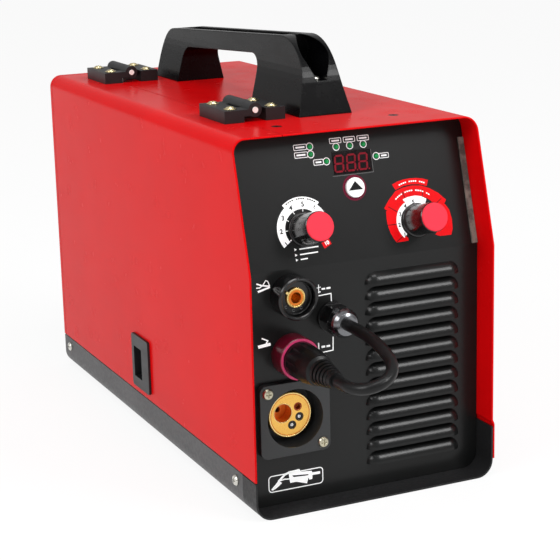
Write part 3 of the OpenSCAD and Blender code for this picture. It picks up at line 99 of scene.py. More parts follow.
class ShaderGraph:
    """Node tree of one material, with its Principled shader and its Object coordinates."""

    def __init__(self, name: str) -> None:
        """Starts a material of that name with an output and a Principled shader."""
        self.material = bpy.data.materials.new(name)
        self.material.use_nodes = True
        self.tree = self.material.node_tree
        self.tree.nodes.clear()
        self.out = self.add("ShaderNodeOutputMaterial")
        self.shader = self.add("ShaderNodeBsdfPrincipled")
        self.link(self.shader.outputs["BSDF"], self.out.inputs["Surface"])
        self.coords = self.add("ShaderNodeTexCoord").outputs["Object"]

    def add(self, kind: str, **settings: object) -> bpy.types.Node:
        """Adds a node and sets its properties."""
        node = self.tree.nodes.new(kind)
        for key, value in settings.items():
            setattr(node, key, value)
        return node

    def link(self, source: bpy.types.NodeSocket, target: bpy.types.NodeSocket) -> None:
        """Links an output socket to an input socket."""
        self.tree.links.new(source, target)

    def feed(self, target: bpy.types.NodeSocket, value: object) -> None:
        """Links a socket to the target, or sets the target to a plain value."""
        if isinstance(value, bpy.types.NodeSocket):
            self.link(value, target)
        else:
            target.default_value = value

    def surface(self, **values: object) -> None:
        """Feeds the Principled shader's sockets, with underscores for the spaces in their names."""
        for key, value in values.items():
            self.feed(self.shader.inputs[key.replace("_", " ")], value)

    def placed(
        self, scale: Point3 = (1, 1, 1), turn: Point3 = (0, 0, 0), shift: Point3 = (0, 0, 0)
    ) -> bpy.types.NodeSocket:
        """Gives the Object coordinates stretched, turned and moved by a Mapping node."""
        node = self.add("ShaderNodeMapping")
        self.link(self.coords, node.inputs["Vector"])
        node.inputs["Scale"].default_value = scale
        node.inputs["Rotation"].default_value = tuple(math.radians(t) for t in turn)
        node.inputs["Location"].default_value = shift
        return node.outputs["Vector"]

    def noise(
        self,
        scale: float,
        detail: float = 3.0,
        roughness: float = 0.5,
        vector: bpy.types.NodeSocket | None = None,
    ) -> bpy.types.NodeSocket:
        """Adds noise of that many grains a metre.

        Args:
            scale: Grains a metre.
            detail: Octaves of finer noise.
            roughness: Weight of the finer octaves.
            vector: Coordinates, or the Object coordinates where left out.

        Returns:
            The factor socket.
        """
        node = self.add("ShaderNodeTexNoise")
        self.link(vector or self.coords, node.inputs["Vector"])
        node.inputs["Scale"].default_value = scale
        node.inputs["Detail"].default_value = detail
        node.inputs["Roughness"].default_value = roughness
        return node.outputs[0]

    def cells(
        self, scale: float, feature: str = "F1", vector: bpy.types.NodeSocket | None = None
    ) -> bpy.types.Node:
        """Adds a Voronoi texture of that many cells a metre and gives its node."""
        node = self.add("ShaderNodeTexVoronoi", feature=feature)
        self.link(vector or self.coords, node.inputs["Vector"])
        node.inputs["Scale"].default_value = scale
        return node

    def bands(
        self, scale: float, axis: str, distortion: float = 0.0,
        vector: bpy.types.NodeSocket | None = None, rings: bool = False,
    ) -> bpy.types.NodeSocket:
        """Adds bands across an axis, or rings round it, and gives the factor socket."""
        node = self.add("ShaderNodeTexWave", wave_type="RINGS" if rings else "BANDS")
        if rings:
            node.rings_direction = axis
        else:
            node.bands_direction = axis
        self.link(vector or self.coords, node.inputs["Vector"])
        node.inputs["Scale"].default_value = scale
        node.inputs["Distortion"].default_value = distortion
        node.inputs["Detail"].default_value = 2.0
        return node.outputs["Fac"]

    def level(
        self, factor: bpy.types.NodeSocket, low: float, high: float,
        start: float = 0.3, end: float = 0.7,
    ) -> bpy.types.NodeSocket:
        """Maps a factor between start and end to a value between low and high."""
        node = self.add("ShaderNodeMapRange")
        self.link(factor, node.inputs["Value"])
        for key, value in (("From Min", start), ("From Max", end), ("To Min", low), ("To Max", high)):
            node.inputs[key].default_value = value
        return node.outputs["Result"]

    def mixed(
        self, factor: object, first: object, second: object, mode: str = "MIX"
    ) -> bpy.types.NodeSocket:
        """Mixes two colours, given as sockets or display colours, by a factor."""
        node = self.add("ShaderNodeMix", data_type="RGBA", blend_type=mode)
        self.feed(node.inputs[0], factor)
        for index, value in ((6, first), (7, second)):
            self.feed(node.inputs[index], linear(value) if isinstance(value, tuple) else value)
        return node.outputs[2]

    def maths(self, operation: str, first: object, second: object = 0.0) -> bpy.types.NodeSocket:
        """Adds a Math node on two values or sockets."""
        node = self.add("ShaderNodeMath", operation=operation)
        self.feed(node.inputs[0], first)
        self.feed(node.inputs[1], second)
        return node.outputs[0]

    def softened(self, radius: float) -> bpy.types.NodeSocket:
        """Gives a normal that rounds sharp edges by that radius in metres."""
        node = self.add("ShaderNodeBevel", samples=4)
        node.inputs["Radius"].default_value = radius
        return node.outputs["Normal"]

    def relief(
        self, height: bpy.types.NodeSocket, depth: float,
        normal: bpy.types.NodeSocket | None = None, strength: float = 1.0,
    ) -> bpy.types.NodeSocket:
        """Adds a bump of that depth in metres, on top of another normal where one is given."""
        node = self.add("ShaderNodeBump")
        self.link(height, node.inputs["Height"])
        node.inputs["Distance"].default_value = depth
        node.inputs["Strength"].default_value = strength
        if normal is not None:
            self.link(normal, node.inputs["Normal"])
        return node.outputs["Normal"]


# ---------------------------------------------------------------- finishes


@dataclass(frozen=True)
class GlossPaint:
    """Stoved gloss paint on sheet steel, with fine orange peel and slow changes of tone."""

    name: str
    colour: Colour
    roughness: float = 0.24
    specular: float = 0.045
    peel: float = 0.00002
    edge: float = 0.0009

    def build(self) -> bpy.types.Material:
        """Builds the material."""
        g = ShaderGraph(self.name)
        cloud = g.noise(9.0, 4.0)
        g.surface(
            Base_Color=g.mixed(
                g.level(cloud, 0.0, 1.0), tone(self.colour, 0.975), tone(self.colour, 1.015)
            ),
            Roughness=g.level(g.noise(45.0, 5.0), self.roughness - 0.04, self.roughness + 0.04),
            Specular_IOR_Level=self.specular,
            Normal=g.relief(g.noise(750.0, 2.0), self.peel, g.softened(self.edge)),
        )
        return g.material


@dataclass(frozen=True)
class GrainedPaint:
    """Powder coat with a fine leather grain, and, if it has one, a second colour in front of a plane, used
    as painted shade on a face that the lamps leave dark.
    """

    name: str
    colour: Colour
    roughness: float = 0.5
    grain: float = 0.00009
    edge: float = 0.0007
    specular: float = 0.3
    coat: float = 0.0
    # Colour in front of the plane, in metres along Y: painted shade on a face that the lamps leave dark
    front: Colour | None = None
    front_y: float = -0.2275

    def build(self) -> bpy.types.Material:
        """Builds the material."""
        g = ShaderGraph(self.name)
        grain = g.noise(1500.0, 2.0, 0.6)
        cloud = g.noise(14.0, 3.0)
        base = g.mixed(g.level(cloud, 0.0, 1.0), tone(self.colour, 0.93), tone(self.colour, 1.06))
        # Painted shade: in front of that plane the colour turns to the darker front colour
        if self.front:
            split = g.add("ShaderNodeSeparateXYZ")
            g.link(g.coords, split.inputs[0])
            base = g.mixed(g.maths("LESS_THAN", split.outputs["Y"], self.front_y), base, self.front)
        g.surface(
            Base_Color=g.mixed(g.level(grain, 0.25, 0.0), base, tone(self.colour, 0.6)),
            Roughness=g.level(g.noise(300.0), self.roughness - 0.06, self.roughness + 0.08),
            Specular_IOR_Level=self.specular,
            Coat_Weight=self.coat,
            Coat_Roughness=0.22,
            Normal=g.relief(grain, self.grain, g.softened(self.edge)),
        )
        return g.material


@dataclass(frozen=True)
class MouldedPlastic:
    """Injection moulded plastic with a spark-eroded grain and faint rub marks."""

    name: str
    colour: Colour
    roughness: float = 0.42
    grain: float = 0.00004
    coat: float = 0.0
    edge: float = 0.0006
    specular: float = 0.4
    mottle: float = 0.1

    def build(self) -> bpy.types.Material:
        """Builds the material."""
        g = ShaderGraph(self.name)
        rubs = g.noise(60.0, 5.0, 0.65, g.placed((1.0, 0.25, 1.0)))
        g.surface(
            Base_Color=g.mixed(
                g.level(rubs, 0.0, 1.0),
                tone(self.colour, 1 - self.mottle), tone(self.colour, 1 + self.mottle),
            ),
            Roughness=g.level(rubs, self.roughness - 0.05, self.roughness + 0.06),
            Specular_IOR_Level=self.specular,
            Coat_Weight=self.coat,
            Coat_Roughness=0.15,
            Normal=g.relief(g.noise(2400.0, 2.0), self.grain, g.softened(self.edge)),
        )
        return g.material


@dataclass(frozen=True)
class PlatedMetal:
    """Plated or bare metal with cloudy tone and fine scratches."""

    name: str
    colour: Colour
    roughness: float = 0.3
    stain: Colour = (120, 116, 108)
    stretch: Point3 = (1.0, 1.0, 8.0)
    metallic: float = 1.0
    edge: float = 0.0003

    def build(self) -> bpy.types.Material:
        """Builds the material."""
        g = ShaderGraph(self.name)
        scratches = g.noise(420.0, 4.0, 0.7, g.placed(self.stretch))
        cloud = g.noise(45.0, 3.0, 0.5)
        g.surface(
            Base_Color=g.mixed(g.level(cloud, 0.0, 0.3, 0.35, 0.8), self.colour, self.stain),
            Metallic=self.metallic,
            Roughness=g.level(scratches, self.roughness - 0.06, self.roughness + 0.08),
            Normal=g.relief(scratches, 0.000006, g.softened(self.edge)),
        )
        return g.material


@dataclass(frozen=True)
class Rubber:
    """Rubber or soft PVC, matt, with a dusty bloom."""

    name: str
    colour: Colour
    roughness: float = 0.55

    def build(self) -> bpy.types.Material:
        """Builds the material."""
        g = ShaderGraph(self.name)
        bloom = g.noise(180.0, 5.0, 0.7)
        g.surface(
            Base_Color=g.mixed(g.level(bloom, 0.0, 1.0), tone(self.colour, 0.85), tone(self.colour, 1.25)),
            Roughness=g.level(bloom, self.roughness - 0.05, self.roughness + 0.1),
            Specular_IOR_Level=0.3,
            Normal=g.relief(g.noise(1900.0, 2.0), 0.00003),
        )
        return g.material


@dataclass(frozen=True)
class PrintedInk:
    """Screen-printed ink, a little uneven, with pinholes; its emission is a painted glow that makes some
    inks brighter than the lamps light them.
    """

    name: str
    colour: Colour
    roughness: float = 0.5
    # Emission strength: a painted glow, since print is no lamp
    painted_glow: float = 0.0

    def build(self) -> bpy.types.Material:
        """Builds the material."""
        g = ShaderGraph(self.name)
        mottle = g.noise(700.0, 3.0)
        g.surface(
            Base_Color=g.mixed(g.level(mottle, 0.0, 1.0), tone(self.colour, 0.95), self.colour),
            Roughness=g.level(mottle, self.roughness - 0.05, self.roughness + 0.05),
            Specular_IOR_Level=0.12,
            # Painted glow: the ink emits its own colour
            Emission_Color=linear(self.colour),
            Emission_Strength=self.painted_glow,
            Normal=g.relief(g.noise(1500.0, 2.0), 0.00002),
        )
        return g.material


@dataclass(frozen=True)
class CircuitBoard:
    """Solder resist over copper tracks, with tinned pads."""

    name: str
    colour: Colour

    def build(self) -> bpy.types.Material:
        """Builds the material."""
        g = ShaderGraph(self.name)
        net = g.cells(160.0, "DISTANCE_TO_EDGE").outputs["Distance"]
        track = g.level(net, 1.0, 0.0, 0.03, 0.07)
        pads = g.level(g.cells(190.0).outputs["Distance"], 1.0, 0.0, 0.16, 0.2)
        tracks = g.mixed(track, self.colour, tone(self.colour, 1.7))
        g.surface(
            Base_Color=g.mixed(pads, tracks, (176, 174, 166)),
            Metallic=g.maths("MULTIPLY", pads, 0.9),
            Roughness=g.level(g.noise(500.0), 0.25, 0.4),
            Normal=g.relief(g.maths("ADD", track, pads), 0.00005),
        )
        return g.material


@dataclass(frozen=True)
class TintedLens:
    """Tinted clear plastic over a dark ground."""

    name: str
    colour: Colour
    roughness: float = 0.12
    glow: Colour | None = None
    specular: float = 0.3

    def build(self) -> bpy.types.Material:
        """Builds the material."""
        g = ShaderGraph(self.name)
        smear = g.noise(220.0, 4.0, 0.6)
        g.surface(
            Base_Color=g.mixed(g.level(smear, 0.0, 1.0), tone(self.colour, 0.8), tone(self.colour, 1.2)),
            Roughness=g.level(smear, self.roughness - 0.04, self.roughness + 0.06),
            Specular_IOR_Level=self.specular,
        )
        if self.glow is not None:
            g.surface(Emission_Color=linear(self.glow), Emission_Strength=0.8)
        return g.material


@dataclass(frozen=True)
class MottledStrip:
    """Foam strip with a mottled face and dark pores."""

    name: str
    colour: Colour
    patch: Colour

    def build(self) -> bpy.types.Material:
        """Builds the material."""
        g = ShaderGraph(self.name)
        patches = g.noise(95.0, 5.0, 0.65)
        pores = g.cells(1500.0).outputs["Distance"]
        body = g.mixed(g.level(patches, 0.0, 1.0, 0.42, 0.6), self.colour, self.patch)
        g.surface(
            Base_Color=g.mixed(g.level(pores, 0.45, 0.0, 0.1, 0.5), body, tone(self.colour, 0.5)),
            Roughness=g.level(patches, 0.75, 0.9),
            Normal=g.relief(pores, 0.00012),
        )
        return g.material


@dataclass(frozen=True)
class WoundWire:
    """Enamelled wire laid side by side."""

    name: str
    colour: Colour
    turns: float = 160.0
    axis: str = "Z"

    def build(self) -> bpy.types.Material:
        """Builds the material."""
        g = ShaderGraph(self.name)
        lay = g.bands(self.turns, self.axis, 0.4)
        g.surface(
            Base_Color=g.mixed(lay, tone(self.colour, 0.55), self.colour),
            Metallic=0.85,
            Roughness=g.level(g.noise(300.0), 0.28, 0.42),
            Normal=g.relief(lay, 0.0004),
        )
        return g.material


Finish = (
    GlossPaint | GrainedPaint | MouldedPlastic | PlatedMetal | Rubber | PrintedInk
    | CircuitBoard | TintedLens | MottledStrip | WoundWire
)

CASING_RED = GlossPaint("casing_red", (208, 5, 9))
PANEL_BLACK = GrainedPaint("panel_black", (21, 22, 22), 0.36, 0.00003, 0.0009, 0.09, 0.38)
FLANGE_BLACK = GrainedPaint("flange_black", (44, 45, 46), 0.38, 0.00003, 0.0012, 0.2, 0.5)
# The tray's front face, in front of y = -0.2275 m, is painted a darker grey: painted shade where the lamps
# leave it dark
TRAY_GREY = GrainedPaint("tray_grey", (80, 80, 81), 0.45, specular=0.25, front=(26, 26, 27))
ZINC_SHEET = PlatedMetal("zinc_sheet", (176, 178, 180), 0.38, (140, 142, 146), (1.0, 6.0, 1.0))
ZINC = PlatedMetal("zinc", (214, 212, 204), 0.25, (150, 148, 140))
NICKEL = PlatedMetal("nickel", (206, 200, 176), 0.3, (120, 112, 92))
YELLOW_ZINC = PlatedMetal("yellow_zinc", (226, 212, 168), 0.24, (150, 126, 78))
PIN_STEEL = PlatedMetal("pin_steel", (244, 243, 238), 0.4, (226, 224, 216), metallic=0.15)
DARK_STEEL = PlatedMetal("dark_steel", (128, 129, 132), 0.22, (84, 84, 88))
BLACK_STEEL = PlatedMetal("black_steel", (34, 32, 34), 0.4, (60, 52, 50))
BLACK_PLASTIC = MouldedPlastic("black_plastic", (22, 22, 24))
HANDLE_PLASTIC = MouldedPlastic("handle_plastic", (5, 5, 6), 0.26, 0.00002, 0.1, 0.0018, 0.1)
GLOSS_BLACK = MouldedPlastic("gloss_black", (13, 13, 14), 0.2, 0.00001, 0.25)
CAP_RED = MouldedPlastic("cap_red", (236, 44, 64), 0.5, 0.00002, 0.0, 0.0008, 0.25, 0.015)
SOCKET_RED = MouldedPlastic("socket_red", (88, 4, 28), 0.28, 0.00002, 0.15, 0.0008, 0.4, 0.05)
RIM_PINK = MouldedPlastic("rim_pink", (196, 56, 104), 0.4, 0.00001, 0.0, 0.0003, 0.35, 0.04)
BRASS = PlatedMetal("brass", (240, 188, 96), 0.25, (214, 146, 64), (1.0, 8.0, 1.0))
BRIGHT_BRASS = PlatedMetal("bright_brass", (255, 226, 156), 0.2, (240, 190, 110))
BRONZE = PlatedMetal("bronze", (236, 128, 36), 0.3, (190, 80, 16), metallic=0.4)
# Brass darkened to a reddish brown: painted shade for the gas hole's ring and lining
PAINTED_SHADE_BRONZE = PlatedMetal("bronze_painted_shade", (150, 52, 16), 0.35, (96, 26, 8), metallic=0.5)
COPPER = WoundWire("copper", (190, 104, 60))
ALUMINIUM = PlatedMetal("aluminium", (190, 192, 196), 0.36, (150, 152, 156), (1.0, 7.0, 1.0))
BOARD_GREEN = CircuitBoard("board_green", (18, 84, 44))
LENS_RED = TintedLens("lens_red", (16, 7, 9), 0.22, None, 0.12)
LAMP_GREEN = TintedLens("lamp_green", (14, 132, 66), 0.2, (8, 70, 34))
BUTTON_WHITE = MouldedPlastic("button_white", (246, 246, 245), 0.35, 0.00001, 0.1, 0.0006, 0.4, 0.01)
SEAL_GREY = MottledStrip("seal_grey", (78, 71, 66), (132, 122, 114))
RUBBER_BLACK = Rubber("rubber_black", (9, 9, 10), 0.34)
MOTOR_GREY = GrainedPaint("motor_grey", (92, 94, 98), 0.42, 0.00004)
CAPACITOR_BLUE = MouldedPlastic("capacitor_blue", (30, 52, 110), 0.25, 0.00001, 0.2)
CORE_BLACK = GrainedPaint("core_black", (44, 42, 42), 0.7, 0.00015)
ROCKER_RED = MouldedPlastic("rocker_red", (190, 22, 24), 0.25, 0.00001, 0.2)
# The last number is a painted glow that lifts the white ink above what the lamps give
INK_WHITE = PrintedInk("ink_white", (255, 255, 255), 0.5, 0.15)
INK_GREY = PrintedInk("ink_grey", (112, 112, 112))
# The last number is a painted glow that lifts the red ink above what the lamps give
INK_RED = PrintedInk("ink_red", (222, 4, 14), 0.5, 0.1)
INK_BLACK = PrintedInk("ink_black", (20, 20, 22))
INK_MAROON = PrintedInk("ink_maroon", (104, 8, 42))
SEGMENT_RED = TintedLens("segment_red", (96, 6, 20), 0.3, (104, 6, 24), 0.1)

NODE_FINISHES: dict[str, Finish] = {
    "base_tray": TRAY_GREY, "front_panel": PANEL_BLACK, "rear_panel": PANEL_BLACK,
    "cover": CASING_RED, "divider": ZINC_SHEET, "door": CASING_RED, "handle": HANDLE_PLASTIC,
    "handle_screws": ZINC, "cover_hinge_leaves": BLACK_PLASTIC, "door_hinge_leaves": BLACK_PLASTIC,
    "hinge_pins": PIN_STEEL, "cover_hinge_screws": YELLOW_ZINC, "door_hinge_screws": YELLOW_ZINC,
    "cover_screws": BLACK_STEEL, "skirt_screws": ZINC, "latch_frame": BLACK_PLASTIC,
    "latch_slider": BLACK_PLASTIC, "display_lens": LENS_RED, "status_lamps": LAMP_GREEN,
    "mode_button": BUTTON_WHITE, "panel_seal_strip": SEAL_GREY, "control_board": BOARD_GREEN,
    "potentiometers": ZINC, "wire_speed_knob": GLOSS_BLACK, "wire_speed_cap": CAP_RED,
    "voltage_knob": GLOSS_BLACK, "voltage_cap": CAP_RED, "upper_socket": GLOSS_BLACK,
    "lower_socket": SOCKET_RED, "socket_inserts": BRASS, "torch_flange": FLANGE_BLACK,
    "torch_socket_body": BRASS, "torch_pins": BLACK_PLASTIC, "torch_screws": NICKEL,
    "lead_gland": GLOSS_BLACK, "lead_gland_nut": DARK_STEEL, "lead_cable": RUBBER_BLACK,
    "lead_plug": RUBBER_BLACK, "lead_plug_pin": BRASS, "feeder_plate": ALUMINIUM,
    "feeder_motor": MOTOR_GREY, "wire_guides": BRASS, "drive_roll": ZINC,
    "pressure_arm": BLACK_PLASTIC, "pressure_roll": ZINC, "tension_lever": BLACK_PLASTIC,
    "hub_spindle": ZINC, "spool_hub": BLACK_PLASTIC, "power_board": BOARD_GREEN,
    "heatsinks": ALUMINIUM, "capacitors": CAPACITOR_BLUE, "transformer": CORE_BLACK,
    "output_choke": COPPER, "fan_frame": BLACK_PLASTIC, "fan_rotor": BLACK_PLASTIC,
    "gas_valve": BRASS, "switch_housing": BLACK_PLASTIC, "power_rocker": ROCKER_RED,
    "mains_gland": BLACK_PLASTIC, "earth_stud": BRASS,
}


class FinishShop:
    """Builds each finish once and puts it on pieces and on the frame's nodes."""

    def __init__(self) -> None:
        """Starts with no finish built."""
        self.built: dict[Finish, bpy.types.Material] = {}

    def material(self, finish: Finish) -> bpy.types.Material:
        """Gives the material of a finish, building it at its first use."""
        if finish not in self.built:
            self.built[finish] = finish.build()
        return self.built[finish]

    def dress(self, piece: bpy.types.Object, finish: Finish) -> None:
        """Gives a whole piece one finish."""
        if not piece.material_slots:
            piece.data.materials.append(None)
        for slot in piece.material_slots:
            slot.material = self.material(finish)

    def dress_frame(self) -> None:
        """Gives every node of the frame its finish."""
        for name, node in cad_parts.items():
            self.dress(node, NODE_FINISHES[name])
            LOG.info("finish %s on %s", NODE_FINISHES[name].name, name)


SHOP = FinishShop()


# ---------------------------------------------------------------- mesh building


def as_object(name: str, mesh: bpy.types.Mesh) -> bpy.types.Object:
    """Links a mesh into the scene as an object at the origin."""
    piece = bpy.data.objects.new(name, mesh)
    bpy.context.scene.collection.objects.link(piece)
    return piece


def settle(
    piece: bpy.types.Object, body: str, finish: Finish,
    replaced: Sequence[str] = (),
) -> bpy.types.Object:
    """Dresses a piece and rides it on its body.

    Args:
        piece: The piece, already in its place.
        body: The body that it moves with.
        finish: Its finish.
        replaced: Nodes that it stands for.

    Returns:
        The piece.
    """
    SHOP.dress(piece, finish)
    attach(piece, body)
    if replaced:
        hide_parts(*replaced)
    LOG.info("piece %s rides on %s", piece.name, body)
    return piece


def plain_copy(source: bpy.types.Object, name: str) -> bpy.types.Mesh:
    """Evaluates an object and gives the result as a plain mesh of its own."""
    graph = bpy.context.evaluated_depsgraph_get()
    mesh = bpy.data.meshes.new_from_object(source.evaluated_get(graph))
    mesh.name = name
    return mesh


def discard(piece: bpy.types.Object) -> None:
    """Removes a helper object and its data."""
    data = piece.data
    bpy.data.objects.remove(piece)
    if data.users == 0:
        (bpy.data.meshes if isinstance(data, bpy.types.Mesh) else bpy.data.curves).remove(data)


def smooth(mesh: bpy.types.Mesh, angle: float = 35.0) -> None:
    """Shades a mesh smooth, and sharp where its faces meet at more than an angle in degrees."""
    mesh.shade_smooth()
    mesh.set_sharp_from_angle(angle=math.radians(angle))


def turned(profile: Sequence[Point2], place: Matrix, steps: int = 64) -> bmesh.types.BMesh:
    """Turns a closed (radius, height) profile round the place's Z axis.

    Args:
        profile: Corners of the section, in millimetres; a radius of 0 closes it on the axis.
        place: Matrix of the axis.
        steps: Sides round the axis.

    Returns:
        A closed mesh with its faces outwards.
    """
    shape = bmesh.new()
    rings = []
    for radius, height in profile:
        if radius == 0:
            rings.append([shape.verts.new((0, 0, height))])
        else:
            rings.append([
                shape.verts.new((radius * math.cos(a), radius * math.sin(a), height))
                for a in (math.tau * k / steps for k in range(steps))
            ])
    closed = list(zip(rings, rings[1:] + rings[:1]))
    for low, high in closed:
        for k in range(steps):
            nxt = (k + 1) % steps
            corners = [
                low[k % len(low)], low[nxt % len(low)], high[nxt % len(high)], high[k % len(high)],
            ]
            unique = list(dict.fromkeys(corners))
            if len(unique) > 2:
                shape.faces.new(unique)
    bmesh.ops.recalc_face_normals(shape, faces=shape.faces)
    shape.transform(place)
    return shape


def to_mesh(shape: bmesh.types.BMesh, name: str) -> bpy.types.Mesh:
    """Writes a bmesh to a new mesh and frees it."""
    mesh = bpy.data.meshes.new(name)
    shape.to_mesh(mesh)
    shape.free()
    return mesh


def tube(path: Sequence[Vector], radius: Callable[[float], float], sides: int = 20) -> bmesh.types.BMesh:
    """Sweeps a round section along a path with closed ends.

    Args:
        path: Points of the centre line.
        radius: Radius at a share, 0 to 1, of the path's points.
        sides: Sides of the section.

    Returns:
        A closed mesh with its faces outwards.
    """
    shape = bmesh.new()
    rings: list[list[bmesh.types.BMVert]] = []
    side = None
    for i, point in enumerate(path):
        way = (path[min(i + 1, len(path) - 1)] - path[max(i - 1, 0)]).normalized()
        if side is None:
            side = way.orthogonal().normalized()
        side = (side - way * side.dot(way)).normalized()
        lift = way.cross(side)
        r = radius(i / (len(path) - 1))
        rings.append([
            shape.verts.new(point + r * (side * math.cos(a) + lift * math.sin(a)))
            for a in (math.tau * k / sides for k in range(sides))
        ])
    for low, high in zip(rings, rings[1:]):
        for k in range(sides):
            shape.faces.new((low[k], low[(k + 1) % sides], high[(k + 1) % sides], high[k]))
    for ring in (rings[0], rings[-1]):
        shape.faces.new(ring)
    bmesh.ops.recalc_face_normals(shape, faces=shape.faces)
    return shape


# ---------------------------------------------------------------- patterns by Geometry Nodes


class PatternTree:
    """Geometry Nodes tree with named number inputs, ended by Realize Instances and Set Material."""

    def __init__(self, name: str, inputs: dict[str, float]) -> None:
        """Starts a tree with a geometry input and the named inputs at their defaults."""
        self.tree = bpy.data.node_groups.new(name, "GeometryNodeTree")
        face = self.tree.interface
        face.new_socket(name="Geometry", in_out="INPUT", socket_type="NodeSocketGeometry")
        face.new_socket(name="Geometry", in_out="OUTPUT", socket_type="NodeSocketGeometry")
        self.identifiers: dict[str, str] = {}
        for key, value in inputs.items():
            kind = "NodeSocketInt" if isinstance(value, int) else "NodeSocketFloat"
            socket = face.new_socket(name=key, in_out="INPUT", socket_type=kind)
            socket.default_value = value
            self.identifiers[key] = socket.identifier
        self.inlet = self.add("NodeGroupInput")
        self.outlet = self.add("NodeGroupOutput")

    def add(self, kind: str, **settings: object) -> bpy.types.Node:
        """Adds a node and sets its properties."""
        node = self.tree.nodes.new(kind)
        for key, value in settings.items():
            setattr(node, key, value)
        return node

    def feed(self, target: bpy.types.NodeSocket, value: object) -> None:
        """Links a socket or a named input to the target, or sets a plain value."""
        if isinstance(value, str) and value in self.identifiers:
            value = self.inlet.outputs[value]
        if isinstance(value, bpy.types.NodeSocket):
            self.tree.links.new(value, target)
        else:
            target.default_value = value

    def maths(self, operation: str, first: object, second: object = 0.0) -> bpy.types.NodeSocket:
        """Adds a Math node on two values, sockets or named inputs."""
        node = self.add("ShaderNodeMath", operation=operation)
        self.feed(node.inputs[0], first)
        self.feed(node.inputs[1], second)
        return node.outputs[0]

    def vector(self, x: object, y: object, z: object) -> bpy.types.NodeSocket:
        """Adds a vector of three values, sockets or named inputs."""
        node = self.add("ShaderNodeCombineXYZ")
        for index, value in enumerate((x, y, z)):
            self.feed(node.inputs[index], value)
        return node.outputs[0]

    def instances(
        self, points: bpy.types.NodeSocket, shape: bpy.types.NodeSocket,
        turn: object = None, scale: object = None,
    ) -> bpy.types.NodeSocket:
        """Puts a shape on every point, turned and scaled."""
        node = self.add("GeometryNodeInstanceOnPoints")
        self.feed(node.inputs["Points"], points)
        self.feed(node.inputs["Instance"], shape)
        if turn is not None:
            self.feed(node.inputs["Rotation"], turn)
        if scale is not None:
            self.feed(node.inputs["Scale"], scale)
        return node.outputs[0]

    def close(self, shape: bpy.types.NodeSocket) -> None:
        """Ends the tree in Realize Instances and Set Material."""
        realize = self.add("GeometryNodeRealizeInstances")
        self.feed(realize.inputs[0], shape)
        self.painter = self.add("GeometryNodeSetMaterial")
        self.feed(self.painter.inputs["Geometry"], realize.outputs[0])
        self.feed(self.outlet.inputs[0], self.painter.outputs[0])

    def run(
        self, name: str, source: bpy.types.Mesh, finish: Finish, place: Matrix, **values: float
    ) -> bpy.types.Object:
        """Runs the tree on a mesh and gives the result as a plain piece.

        Args:
            name: Name of the piece.
            source: Mesh that the tree takes in.
            finish: Finish that Set Material gives.
            place: Matrix put into the mesh at the end.
            values: The named inputs, with underscores for spaces.

        Returns:
            The piece, at the origin.
        """
        self.painter.inputs["Material"].default_value = SHOP.material(finish)
        holder = as_object(name + "_holder", source)
        modifier = holder.modifiers.new("pattern", "NODES")
        modifier.node_group = self.tree
        for key, value in values.items():
            modifier[self.identifiers[key.replace("_", " ")]] = value
        mesh = plain_copy(holder, name)
        holder.modifiers.clear()
        discard(holder)
        mesh.transform(place)
        return as_object(name, mesh)


def polar_tree() -> PatternTree:
    """Builds the tree that repeats its input round the Z axis: Count copies, Start and Step in radians."""
    tree = PatternTree("round_the_axis", {"Count": 12, "Start": 0.0, "Step": math.tau / 12})
    line = tree.add("GeometryNodeMeshLine")
    tree.feed(line.inputs["Count"], "Count")
    tree.feed(line.inputs["Offset"], (0.0, 0.0, 0.0))
    index = tree.add("GeometryNodeInputIndex").outputs[0]
    angle = tree.maths("ADD", "Start", tree.maths("MULTIPLY", index, "Step"))
    copies = tree.instances(
        line.outputs[0], tree.inlet.outputs["Geometry"], tree.vector(0.0, 0.0, angle)
    )
    tree.close(copies)
    return tree


def row_tree() -> PatternTree:
    """Builds the tree that repeats its input in a row, each copy scaled by a factor of the last."""
    tree = PatternTree(
        "in_a_row", {"Count": 5, "Pitch X": 0.0, "Pitch Y": 0.0, "Pitch Z": 1.0, "Shrink": 0.0}
    )
    line = tree.add("GeometryNodeMeshLine")
    tree.feed(line.inputs["Count"], "Count")
    tree.feed(line.inputs["Offset"], tree.vector("Pitch X", "Pitch Y", "Pitch Z"))
    index = tree.add("GeometryNodeInputIndex").outputs[0]
    size = tree.maths("SUBTRACT", 1.0, tree.maths("MULTIPLY", index, "Shrink"))
    scale = tree.vector(size, size, 1.0)
    tree.close(tree.instances(line.outputs[0], tree.inlet.outputs["Geometry"], None, scale))
    return tree


def ring_tree() -> PatternTree:
    """Builds the tree that puts a flat ring at every point of its input."""
    tree = PatternTree("ring_at_points", {"Outer": 3.2, "Inner": 2.6, "Height": 0.3})
    curve = tree.add("GeometryNodeCurvePrimitiveCircle")
    curve.inputs["Resolution"].default_value = 32
    middle = tree.maths("MULTIPLY", tree.maths("ADD", "Outer", "Inner"), 0.5)
    tree.feed(curve.inputs["Radius"], middle)
    section = tree.add("GeometryNodeCurvePrimitiveQuadrilateral")
    tree.feed(section.inputs["Width"], tree.maths("SUBTRACT", "Outer", "Inner"))
    tree.feed(section.inputs["Height"], "Height")
    sweep = tree.add("GeometryNodeCurveToMesh")
    tree.feed(sweep.inputs["Curve"], curve.outputs[0])
    tree.feed(sweep.inputs["Profile Curve"], section.outputs[0])
    tree.close(tree.instances(tree.inlet.outputs["Geometry"], sweep.outputs[0]))
    return tree


# ---------------------------------------------------------------- print


def on_circle(centre: Point2, radius: float, angle: float) -> Point2:
    """Gives the point of a circle at an angle in radians."""
    return (centre[0] + radius * math.cos(angle), centre[1] + radius * math.sin(angle))


